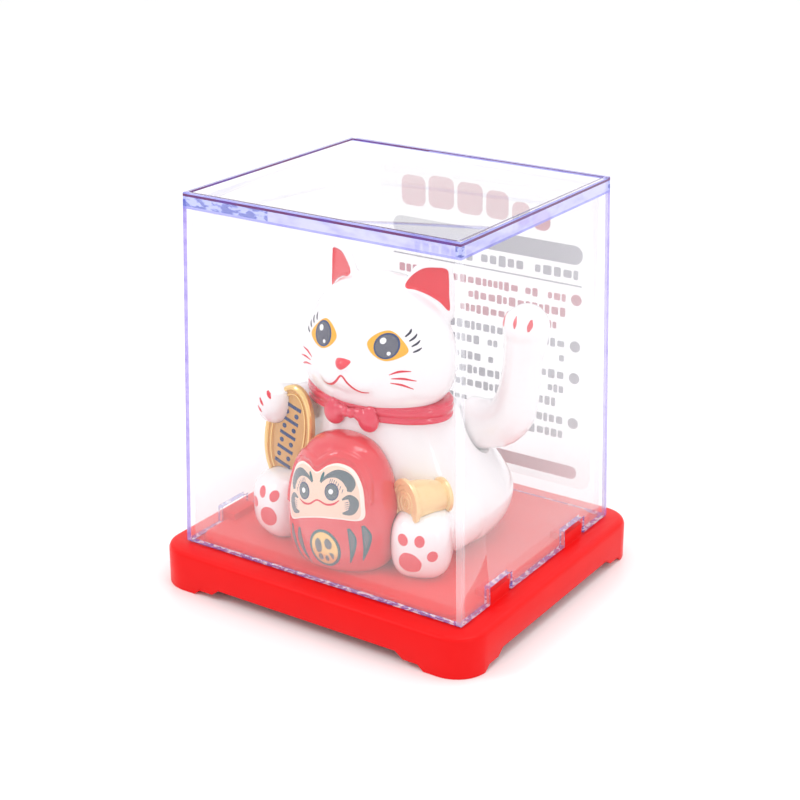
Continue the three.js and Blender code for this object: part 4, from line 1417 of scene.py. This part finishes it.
@dataclass
class RoundDoll:
    """The round doll between the cat's feet."""

    shop: Workshop
    y: float = -23.2
    half_width: float = 15.0
    half_depth: float = 10.6
    height: float = 32.0
    lean: float = 0.05
    outline: tuple = ((0.8, 0.0), (0.91, 0.06), (0.98, 0.18), (1.0, 0.34), (0.96, 0.54), (0.83, 0.75),
                      (0.58, 0.92), (0.28, 0.99), (0.03, 1.0))

    def build(self, body: Obj) -> None:
        """Makes the doll and its paint.

        Args:
            body: the cat's closed form, which it leans on.
        """
        base = Body(self.shop).sole
        rings = [(base + h * self.height, self.y + self.lean * h * self.height, r * self.half_width,
                  r * self.half_depth) for r, h in self.outline]
        egg = ring_body(rings, FIGURE_X, steps=6, sides=96)
        coat = Coat(egg, 0.55, 0.6)
        hood = coat.paint("hood", self.sheet(), [self.hood()], (0.0, 14.0))
        coat.strip()
        whole = fuse([egg, hood], 0.3, 5)
        carve(whole, box((-60, -60, 0), (60, 60, base)))
        room = modify(twin(body), "DISPLACE", strength=0.15 * MM, mid_level=0.0)
        carve(whole, room)
        self.paint(whole)
        self.shop.deliver(smooth(whole), "round_doll", "doll_coral", FIGURE, "doll_coral", ["daruma"])

    def sheet(self) -> Sheet:
        """The board that the doll's front is drawn on."""
        return Sheet((-1.5, self.y, 26.5), roll=12)

    def hood(self) -> Outline:
        """The rolled edge of the hood over the face."""
        half = ((12.7, 2.0), (12.3, 7.6), (10.0, 12.2), (6.4, 14.2), (3.0, 14.0))
        way = [*half, (0.0, 12.6), *((-u, v) for u, v in reversed(half))]
        return stroke(way, (0.3, 1.1, 1.3, 1.4, 1.4, 1.5, 1.4, 1.4, 1.3, 1.1, 0.3))

    def paint(self, whole: Obj) -> None:
        """The doll's face, medallion and robe strokes.

        Args:
            whole: the doll's closed form.
        """
        sheet, reach = self.sheet(), (0.0, 14.0)
        deliver = self.shop.deliver
        low, mid, high = Coat(whole, 0.05), Coat(whole, 0.08), Coat(whole, 0.11)

        def face(scale: float, drop: float) -> Outline:
            half = ((0.0, 10.6), (3.0, 12.0), (6.0, 12.3), (9.2, 10.6), (11.0, 7.0), (11.3, 2.5),
                    (10.5, -1.5),
                    (5.5, -0.7), (0.0, -0.2))
            points = list(half) + [(-u, v) for u, v in half[-2:0:-1]]
            return loop([(u * scale, (v - 5.5) * scale + 5.5 + drop) for u, v in points])

        deliver(low.paint("doll_face_edge", sheet, [face(1.0, 0)], reach), "doll_face_edge", "face_edge",
                FIGURE,
                "figure_white")
        deliver(mid.paint("doll_face", sheet, [face(0.93, 0)], reach), "doll_face", "face_cream", FIGURE,
                "figure_white")
        brow = stroke([(1.3, 8.2), (3.1, 9.6), (5.6, 10.1), (7.8, 9.0), (8.8, 7.2), (8.5, 5.7)],
                      (0.3, 0.9, 1.8, 2.3, 2.2, 1.0))
        tear = stroke([(2.2, 10.6), (1.8, 9.6), (1.1, 8.4)], (0.35, 0.8, 0.15))
        curl = stroke([(6.7, 4.0), (8.4, 4.4), (9.3, 2.8), (8.5, 0.9), (6.5, 0.7)], (0.4, 1.2, 2.0, 1.7, 0.4))
        hatches = []
        for step in range(7):
            share = step / 6
            u, v = 4.1 + 3.0 * share, 9.0 - 2.6 * share * share
            hatches.append(stroke([(u, v), (u - 0.35, v - 0.9)], (0.16, 0.08)))
        for step in range(5):
            v = 3.3 - 0.5 * step
            hatches.append(stroke([(8.1, v), (7.2, v - 0.15)], (0.16, 0.08)))
        deliver(high.paint("doll_brows", sheet, mirrored([brow, curl]), reach), "doll_brows", "ink_grey",
                FIGURE,
                "black_plastic")
        deliver(high.paint("doll_tears", sheet, mirrored([tear]), reach), "doll_tears", "ink_teal", FIGURE,
                "black_plastic")
        deliver(high.paint("doll_hatching", sheet, mirrored(hatches), reach), "doll_hatching", "line_navy",
                FIGURE,
                "black_plastic")
        rings = mirrored([oval(4.2, 6.0, 1.85, 2.05)])
        deliver(high.paint("doll_eye_rims", sheet, rings, reach), "doll_eye_rims", "line_navy", FIGURE,
                "black_plastic")
        top, tip = Coat(whole, 0.14), Coat(whole, 0.17)
        deliver(top.paint("doll_eyes", sheet, mirrored([oval(4.2, 6.0, 1.6, 1.8)]), reach), "doll_eyes",
                "ink_grey",
                FIGURE, "black_plastic")
        dots = [oval(side * 4.2 - 0.15, 6.1, 0.62) for side in (-1, 1)]
        deliver(tip.paint("doll_eye_dots", sheet, dots, reach), "doll_eye_dots", "paint_white", FIGURE,
                "figure_white")
        mouth = stroke([(-6.0, 3.9), (-4.4, 3.1), (-2.4, 3.1), (0.0, 4.1), (2.4, 3.1), (4.4, 3.1),
                        (6.0, 3.9)],
                       (0.2, 0.5, 0.45, 0.4, 0.45, 0.5, 0.2))
        deliver(high.paint("doll_mouth", sheet, [mouth], reach), "doll_mouth", "paint_red", FIGURE,
                "collar_red")

        robe = [
            stroke([(7.2, -3.2), (7.6, -6.0), (6.9, -9.2), (5.6, -12.2)], (0.6, 1.7, 1.1, 0.2)),
            stroke([(10.3, -3.0), (10.6, -5.8), (9.8, -9.0), (8.4, -12.0)], (0.6, 1.7, 1.1, 0.2)),
        ]
        fill = [
            stroke([(7.25, -3.6), (7.55, -6.0), (6.9, -9.0)], (0.2, 1.05, 0.3)),
            stroke([(10.35, -3.4), (10.55, -5.8), (9.8, -8.8)], (0.2, 1.05, 0.3)),
        ]
        deliver(low.paint("robe_strokes", sheet, mirrored(robe), reach), "robe_strokes", "ink_teal", FIGURE,
                "black_plastic")
        deliver(mid.paint("robe_fill", sheet, mirrored(fill), reach), "robe_fill", "ink_grey", FIGURE,
                "black_plastic")
        deliver(low.paint("medallion_ring", sheet, [oval(0, -8.0, 4.3, 4.9)], reach), "medallion_ring",
                "ink_teal",
                FIGURE, "black_plastic")
        deliver(mid.paint("medallion", sheet, [oval(0, -8.0, 3.6, 4.2)], reach), "medallion", "rim_gold",
                FIGURE,
                "gold_paint")
        blots = [
            loop([(-2.4, -6.6), (-1.3, -5.3), (-0.5, -6.4), (-0.9, -8.6), (-2.2, -8.9)]),
            loop([(0.5, -6.2), (1.5, -5.4), (2.4, -6.8), (1.7, -8.2), (0.6, -7.8)]),
            oval(-1.5, -10.2, 0.7, 0.9), oval(0.2, -10.6, 0.55, 0.8),
            loop([(1.1, -9.2), (2.2, -9.6), (1.8, -11.0)]),
        ]
        deliver(high.paint("medallion_marks", sheet, blots, reach), "medallion_marks", "ink_grey", FIGURE,
                "black_plastic")
        for coat in (low, mid, high, top, tip):
            coat.strip()


@dataclass
class OvalCoin:
    """The oval coin under the paw."""

    shop: Workshop
    middle: tuple = (-21.5, -17.8, 38.0)
    half_width: float = 7.7
    half_length: float = 14.2
    thick: float = 2.0
    lean: float = 14.5
    turn: float = -6.0
    mark_rows: int = 4
    mark_pitch: float = 2.1
    bar_reach: float = 2.6
    bar_thick: float = 0.9
    dot_across: float = 1.6
    dot_radius: float = 0.65

    def place(self) -> Matrix:
        """From the coin's own millimetres, across, up and out, to metres."""
        turn = (Matrix.Rotation(math.radians(self.turn), 4, "Z") @ Matrix.Rotation(math.radians(self.lean), 4, "Y")
                @ Matrix.Rotation(math.radians(90), 4, "X"))
        return Matrix.Translation(Vector(self.middle) * MM) @ turn @ Matrix.Scale(MM, 4)

    def plate(self, steps: Sequence[Point]) -> Obj:
        """An oval plate turned through steps of inset and height.

        Args:
            steps: how far in from the edge and how high, from the back to the front.

        Returns:
            The closed object.
        """
        rings = [(height, 0.0, self.half_width - inset, self.half_length - inset) for inset, height in steps]
        made = ring_body(rings, 0, steps=1, sides=96)
        made.matrix_world = self.place() @ Matrix.Scale(1 / MM, 4)
        return settle(made)

    def build(self, body: Obj) -> None:
        """Makes the coin, its bright rim and its marks.

        Args:
            body: the cat's closed form, which the coin is fitted to.
        """
        half = self.thick / 2
        room = modify(twin(body), "DISPLACE", strength=0.12 * MM, mid_level=0.0)
        coin = self.plate([(0.35, -half), (0.05, -half + 0.3), (0.05, 0.2), (0.9, 0.45), (2.6, 0.5),
                           (2.75, 0.42),
                           (3.0, 0.42), (3.15, 0.5), (6.0, 0.6)])
        rim = self.plate([(0.3, 0.0), (0.0, 0.3), (0.1, half - 0.3), (0.45, half), (1.0, half),
                          (1.35, half - 0.3),
                          (1.45, 0.3)])
        carve(rim, self.plate([(1.5, -2.0), (1.5, 3.0)]))
        groove = self.plate([(2.2, 0.4), (2.2, 0.72)])
        carve(groove, self.plate([(2.55, 0.3), (2.55, 3.0)]))
        for piece in (coin, rim, groove):
            carve(piece, room, keep=True)
        bpy.data.objects.remove(room)
        deliver = self.shop.deliver
        deliver(smooth(coin), "oval_coin", "coin_gold", FIGURE, "gold_paint", ["koban"])
        deliver(smooth(rim), "coin_rim", "rim_gold", FIGURE, "gold_paint")
        deliver(smooth(groove), "coin_line", "rim_gold", FIGURE, "gold_paint")
        deliver(self.marks(), "coin_marks", "line_navy", FIGURE, "black_plastic")

    def marks(self) -> Obj:
        """One plain bar and one pair of dots, repeated evenly down the coin's face."""
        place = self.place()
        drawings = []
        for row in range(-self.mark_rows, self.mark_rows + 1):
            height = row * self.mark_pitch
            if row % 2:
                drawings += [oval(side * self.dot_across, height, self.dot_radius) for side in (-1, 1)]
            else:
                ends = [(-self.bar_reach, height), (self.bar_reach, height)]
                drawings.append(stroke(ends, (self.bar_thick, self.bar_thick)))
        pieces = []
        for outline in drawings:
            piece = prism(outline, Sheet((0, 0, 0), pitch=90), 0.3, 0.68)
            piece.matrix_world = place @ Matrix.Scale(1 / MM, 4)
            pieces.append(settle(piece))
        return smooth(bring_together(pieces))


@dataclass
class Mallet:
    """The little mallet's head: a barrel with a rim at each end and raised rings on its face."""

    shop: Workshop
    face: tuple = (16.0, -22.4, 30.4)
    end: tuple = (20.8, -12.0, 30.0)
    radius: float = 5.1
    rim: float = 6.0
    end_rim: float = 4.5

    def build(self, body: Obj) -> None:
        """Makes the mallet.

        Args:
            body: the cat's closed form, which the mallet rests on.
        """
        start, stop = Vector(self.face), Vector(self.end)
        length = (stop - start).length
        turn = (stop - start).to_track_quat("Z", "Y").to_matrix().to_4x4()
        rows = [(0.3, 0.01), (0.3, 0.55), (0.75, 0.62), (0.75, 0.95), (0.35, 1.05), (0.35, 1.6), (0.6, 1.75),
                (0.6, 2.0), (0.35, 2.15), (0.35, 2.85), (0.6, 3.0), (0.6, 3.25), (0.35, 3.4), (0.35, 4.35),
                (0.0, 4.6), (0.0, self.rim - 0.25), (0.25, self.rim), (1.0, self.rim), (1.35, self.rim - 0.3),
                (1.7, self.radius), (length * 0.4, self.radius - 0.1), (length * 0.7, self.radius - 0.7),
                (length - 1.4, self.end_rim - 0.7), (length - 1.0, self.end_rim - 0.1),
                (length - 0.6, self.end_rim),
                (length - 0.2, self.end_rim), (length, self.end_rim - 0.3), (length, 0.01)]
        bpy.ops.mesh.primitive_circle_add(vertices=96, radius=rows[0][1] * MM,
                                          location=(0, 0, rows[0][0] * MM),
                                          fill_type="NGON")
        barrel = settle(bpy.context.object)

        def turn_rows() -> None:
            for (z0, r0), (z1, r1) in zip(rows, rows[1:]):
                bpy.ops.mesh.extrude_region_move(TRANSFORM_OT_translate={"value": (0, 0, (z1 - z0) * MM)})
                bpy.ops.transform.resize(value=(r1 / r0, r1 / r0, 1), center_override=(0, 0, z1 * MM))
            bpy.ops.mesh.select_all(action="SELECT")
            bpy.ops.mesh.normals_make_consistent(inside=False)

        edit(barrel, turn_rows)
        barrel.matrix_world = Matrix.Translation(start * MM) @ turn
        settle(barrel)
        room = modify(twin(body), "DISPLACE", strength=0.12 * MM, mid_level=0.0)
        carve(barrel, room)
        self.shop.deliver(smooth(barrel, 30), "mallet_head", "mallet_gold", FIGURE, "gold_paint", ["mallet"])


# ------------------------------------------------------------- case and tray


class Part(Enum):
    """The parts of the cover that carry different painted glints, glow and veil; each value is a material slot."""

    CLEAR = 0
    SIDE = 1
    CORNER = 2
    EDGE = 3
    LINE = 4
    SLAB = 5
    LOW = 6
    CUT = 7
    BLUE = 8


@dataclass
class Case:
    """The clear cover and the film label on its back."""

    shop: Workshop
    width: float = 82.0
    depth: float = 72.4
    top_width: float = 77.2
    top_depth: float = 69.4
    bottom: float = 10.8
    height: float = 91.0
    wall: float = 1.5
    lip: float = 1.8
    roof: float = 2.8
    edge: float = 0.35
    # heights below the top that bound the bands of painted edge glints
    bands: tuple = (0.95, 3.3, 3.9)
    title: tuple = ((22.0, 0.6, 7.4), (13.4, 0.0, 7.8), (4.6, 0.3, 7.6), (-3.6, 0.8, 6.6), (-10.6, 2.0, 5.2),
                    (-16.6, 2.6, 5.0))
    # across, where the blue painted glint along the top band ends
    blue_end: float = -14.0
    notch_width: float = 9.8
    notch_height: float = 4.5
    notch_offset: float = 18.3

    def build(self) -> None:
        """Makes the cover and the label."""
        self.cover()
        self.label()

    def cover(self) -> None:
        """The cover: a block, hollowed below and recessed above, with fine round edges."""
        x, y = self.width / 2, self.depth / 2
        top = self.bottom + self.height
        shell = box((-x, -y, self.bottom), (x, y, top))
        inner_x, inner_y = x - self.wall, y - self.wall
        carve(shell, box((-inner_x, -inner_y, 0), (inner_x, inner_y, top - self.lip - self.roof)))
        carve(shell, box((-inner_x, -inner_y, top - self.lip), (inner_x, inner_y, top + 5)))
        for end in (-1, 1):
            middle = end * self.notch_offset
            half = self.notch_width / 2
            carve(shell, box((-60, middle - half, 0), (60, middle + half, self.bottom + self.notch_height)))

        def soften() -> None:
            bpy.ops.mesh.dissolve_limited(angle_limit=math.radians(1))
            bpy.ops.mesh.select_all(action="SELECT")
            bpy.ops.mesh.bevel(offset=self.edge * MM, segments=3, affect="EDGES", clamp_overlap=True)

        edit(shell, soften)
        cuts = [((-inner_x, 0, 0), (1, 0, 0)), ((inner_x, 0, 0), (1, 0, 0)), ((0, -inner_y, 0), (0, 1, 0)),
                ((0, inner_y, 0), (0, 1, 0)), ((self.blue_end, 0, 0), (1, 0, 0))]
        cuts += [((0, 0, top - drop), (0, 0, 1)) for drop in self.bands]

        def score() -> None:
            for point, normal in cuts:
                bpy.ops.mesh.select_all(action="SELECT")
                bpy.ops.mesh.bisect(plane_co=Vector(point) * MM, plane_no=normal)

        edit(shell, score)
        smooth(shell, 15)
        names = ["cover_" + part.name.lower() for part in Part]
        self.shop.deliver(shell, "clear_case", names, COVER, "cover_clear", ["clear_cover"])
        for face in shell.data.polygons:
            face.material_index = self.part_of(face.center / MM, face.normal, top).value
        for vertex in shell.data.vertices:
            rise = (vertex.co.z / MM - self.bottom) / self.height
            vertex.co.x *= 1 - rise * (1 - self.top_width / self.width)
            vertex.co.y *= 1 - rise * (1 - self.top_depth / self.depth)

    def part_of(self, at: Vector, normal: Vector, top: float) -> Part:
        """Which of the cover's finishes, with their painted glints and veil, a face takes.

        Args:
            at: the face's middle in millimetres.
            normal: the face's normal.
            top: the cover's height.

        Returns:
            The finish's part.
        """
        inner_x, inner_y = self.width / 2 - self.wall, self.depth / 2 - self.wall
        out_x, out_y = abs(at.x) > self.width / 2 - self.edge - 0.1, abs(at.y) > self.depth / 2 - self.edge - 0.1
        corner = abs(at.x) > inner_x and abs(at.y) > inner_y
        near = at.y < -inner_y or at.x > inner_x
        line, slab, low = self.bands
        if at.z < self.bottom + self.notch_height + 0.5 and (
                max(abs(part) for part in normal) < 0.99 or abs(normal.z) > 0.9):
            return Part.CUT
        if at.z > top - self.edge and 0.1 < abs(normal.z) < 0.99:
            return Part.LOW if out_x or out_y else Part.LINE
        if (out_x or out_y) and top - line < at.z < top - self.edge * 0.5:
            return Part.LINE if near else Part.LOW
        if near and (out_x or out_y) and top - slab < at.z < top - line:
            return Part.BLUE if at.x < self.blue_end or corner else Part.SLAB
        if near and (out_x or out_y) and top - low < at.z < top - slab:
            return Part.LOW
        if corner and (at.x > 0 or at.y < 0):
            return Part.CORNER if at.x > 0 > at.y else Part.EDGE
        return Part.SIDE if normal.x > 0.9 else Part.CLEAR

    def label(self) -> None:
        """The film label with its printed bars, seen through the case."""
        low, high = (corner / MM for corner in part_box("info_label"))
        middle = (low + high) / 2
        width, height = high.x - low.x, high.z - low.z
        slope = (self.depth - self.top_depth) / 2 / self.height
        sheet = Sheet(tuple(middle), yaw=180, pitch=math.degrees(math.atan(slope)))
        film = prism(self.card(0, 0, width, height, 3.0), sheet, -0.06, 0.03)
        self.shop.deliver(smooth(film), "label", "label_film", COVER, "label_film", ["info_label"])
        pink, grey = self.drawing(width, height)
        for name, shapes in (("pink", pink), ("grey", grey)):
            piece = bring_together([prism(shape, sheet, -0.09, 0.06) for shape in shapes])
            self.shop.deliver(smooth(piece), f"label_print_{name}", f"print_{name}", COVER, "label_film")

    def card(self, u: float, v: float, width: float, height: float, corner: float) -> Outline:
        """A rectangle with round corners.

        Args:
            u: its middle across.
            v: its middle up.
            width: its width.
            height: its height.
            corner: its corner radius.

        Returns:
            The outline.
        """
        points = []
        a, b = width / 2 - corner, height / 2 - corner
        for quarter, (su, sv) in enumerate(((1, 1), (-1, 1), (-1, -1), (1, -1))):
            for step in range(6):
                angle = math.radians(90 * quarter + 18 * step)
                points.append((u + su * a + corner * math.cos(angle), v + sv * b + corner * math.sin(angle)))
        return points

    def drawing(self, width: float, height: float) -> tuple[list[Outline], list[Outline]]:
        """Plain rows of small blocks where a leaflet's lines would be.

        Args:
            width: the label's width.
            height: the label's height.

        Returns:
            The pink shapes and the grey shapes.
        """
        pink, grey = [], []
        left, right = -width / 2 + 4, width / 2 - 4

        def row(shapes: list[Outline], v: float, size: float, start: float, stop: float, seed: int) -> None:
            u, number = start, seed
            while u < stop - size:
                number = (number * 37 + 11) % 97
                step = size * (0.55 + 0.5 * (number / 97))
                if number % 9:
                    tall = size * (0.62 + 0.3 * (number % 5) / 4)
                    shapes.append(self.card(u + step * 0.42, v, step * 0.72, tall, size * 0.12))
                u += step

        top = height / 2
        pink += [self.card(u, top - 7.5 - fall, size, size + 0.8, 2.0) for u, fall, size in self.title]
        grey.append(self.card(0, top - 18.0, right - left, 5.0, 2.4))
        row(grey, top - 23.2, 3.2, left + 1, right - 4, 5)
        grey.append(self.card(0, top - 26.0, right - left, 0.35, 0.15))
        v = top - 29.8
        for number, (shapes, lines) in enumerate(((pink, 3), (grey, 2), (grey, 3), (grey, 2))):
            shapes.append(oval(left + 1.4, v, 1.5, count=20))
            for line in range(lines):
                stop = right - (11 if line == lines - 1 else 1)
                row(shapes, v, 2.6, left + 4.4, stop, 13 + number * 5 + line)
                v -= 3.9
            v -= 0.9
        row(grey, -height / 2 + 8.4, 2.0, 2.0, right - 2, 19)
        pink.append(self.card(0, -height / 2 + 4.2, right - left, 3.6, 1.7))
        return pink, grey


@dataclass
class Tray:
    """The red tray under the case."""

    shop: Workshop
    fine_edge: float = 0.25

    def build(self) -> None:
        """Makes the tray from its frame node, with fine rounded edges."""
        made = twin(frame["nodes"]["base_tray"])
        made.parent = None
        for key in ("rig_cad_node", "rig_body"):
            if key in made:
                del made[key]

        def clean() -> None:
            bpy.ops.mesh.remove_doubles(threshold=0.005 * MM)
            bpy.ops.mesh.dissolve_limited(angle_limit=math.radians(1))

        edit(made, clean)
        modify(made, "BEVEL", width=self.fine_edge * MM, segments=3, limit_method="ANGLE",
               angle_limit=math.radians(40), harden_normals=False)
        self.shop.deliver(smooth(made, 30), "red_tray", "tray_red", FIGURE, "tray_red", ["base_tray"])


class Inside:
    """The frame's own nodes that stay, with their finishes."""

    finishes = {
        "arm_axle": "steel", "rocker": "nylon_grey", "rocker_weight": "cast_weight",
        "rocker_magnet": "magnet_nickel", "axle_retainer": "steel", "sole_plate": "figure_white",
        "mechanism_frame": "nylon_grey", "circuit_board": "board_green", "coil_bobbin": "nylon_grey",
        "coil_winding": "copper", "capacitor": "black_plastic", "drive_chip": "black_plastic",
        "solar_cell": "cell_glass", "cell_lead_red": "lead_red", "cell_lead_black": "black_plastic",
        "base_screw_1": "steel", "base_screw_2": "steel", "frame_screw_1": "steel", "frame_screw_2": "steel",
    }

    def __init__(self, shop: Workshop) -> None:
        """Keeps the workshop.

        Args:
            shop: the workshop, for its palette.
        """
        self.shop = shop

    def build(self) -> None:
        """Gives each node its material."""
        for node, finish in self.finishes.items():
            self.shop.palette.dress(frame["nodes"][node], finish)


# ----------------------------------------------------------------- the studio


@dataclass
class Studio:
    """Floor, light and camera."""

    bearing: float = 33.63
    rise: float = 20.24
    distance: float = 440.8
    aim_across: float = -0.02
    aim_up: float = 43.18
    case_bottom: float = 10.8
    lens: float = 76.89
    shift: float = -0.05

    def build(self) -> None:
        """Sets everything up."""
        bpy.context.scene.view_settings.view_transform = "Standard"
        self.floor()
        self.world()
        self.lamp("key", (-0.30, -0.34, 0.46), (0.16, 0.16), 0.7)
        self.lamp("top", (0.10, 0.10, 0.62), (0.30, 0.30), 0.9)
        self.lamp("strip", (0.52, -0.16, 0.26), (0.05, 0.42), 0.3)
        self.camera()

    def floor(self) -> None:
        """A plain pale floor."""
        bpy.ops.mesh.primitive_plane_add(size=60)
        floor = bpy.context.object
        floor.name = "floor"
        finish = Finish("floor_white", (0.95, 0.945, 0.95), (0.94, 0.935, 0.94), roughness=0.35,
                        specular=0.25,
                        grain=4.0, relief=0.0005, cloud=60)
        floor.data.materials.append(finish.make())

    def world(self) -> None:
        """Even white light from all round."""
        world = bpy.data.worlds.new("studio")
        bpy.context.scene.world = world
        world.use_nodes = True
        background = world.node_tree.nodes["Background"]
        background.inputs["Color"].default_value = (1, 1, 1, 1)
        background.inputs["Strength"].default_value = 1.04

    def lamp(self, name: str, place: Point, size: tuple[float, float], power: float) -> None:
        """A soft light aimed at the figure.

        Args:
            name: its name.
            place: where it stands, in metres.
            size: its width and height.
            power: watts.
        """
        data = bpy.data.lights.new(name, "AREA")
        data.shape = "RECTANGLE"
        data.size, data.size_y, data.energy = *size, power
        lamp = bpy.data.objects.new(name, data)
        bpy.context.scene.collection.objects.link(lamp)
        lamp.location = place
        lamp.rotation_euler = (Vector((0, 0, 0.05)) - Vector(place)).to_track_quat("-Z", "Y").to_euler()

    def camera(self) -> None:
        """The camera, from its bearing, rise and distance."""
        turn, tip = math.radians(self.bearing), math.radians(self.rise)
        back = Vector((math.sin(turn) * math.cos(tip), -math.cos(turn) * math.cos(tip), math.sin(tip)))
        right = Vector((math.cos(turn), math.sin(turn), 0))
        up = back.cross(right)
        data = bpy.data.cameras.new("camera")
        data.lens, data.sensor_width, data.shift_y = self.lens, 36.0, self.shift
        data.clip_start, data.clip_end = 0.01, 60
        camera = bpy.data.objects.new("camera", data)
        bpy.context.scene.collection.objects.link(camera)
        place = right * self.aim_across + up * self.aim_up + back * self.distance
        camera.location = (place + Vector((0, 0, self.case_bottom))) * MM
        camera.rotation_euler = (-back).to_track_quat("-Z", "Y").to_euler()
        bpy.context.scene.camera = camera


def main() -> None:
    """Builds the whole object and its studio."""
    logging.basicConfig(level=logging.INFO, format="%(message)s")
    Studio().build()
    shop = Workshop(Palette())
    body = Body(shop).build()
    head = Head(shop).build()
    Collar(shop).build()
    WavingArm(shop).build()
    RoundDoll(shop).build(body)
    OvalCoin(shop).build(body)
    Mallet(shop).build(body)
    for form in (body, head):
        bpy.data.objects.remove(form)
    Case(shop).build()
    Tray(shop).build()
    Inside(shop).build()


if __name__ == "__main__":
    main()
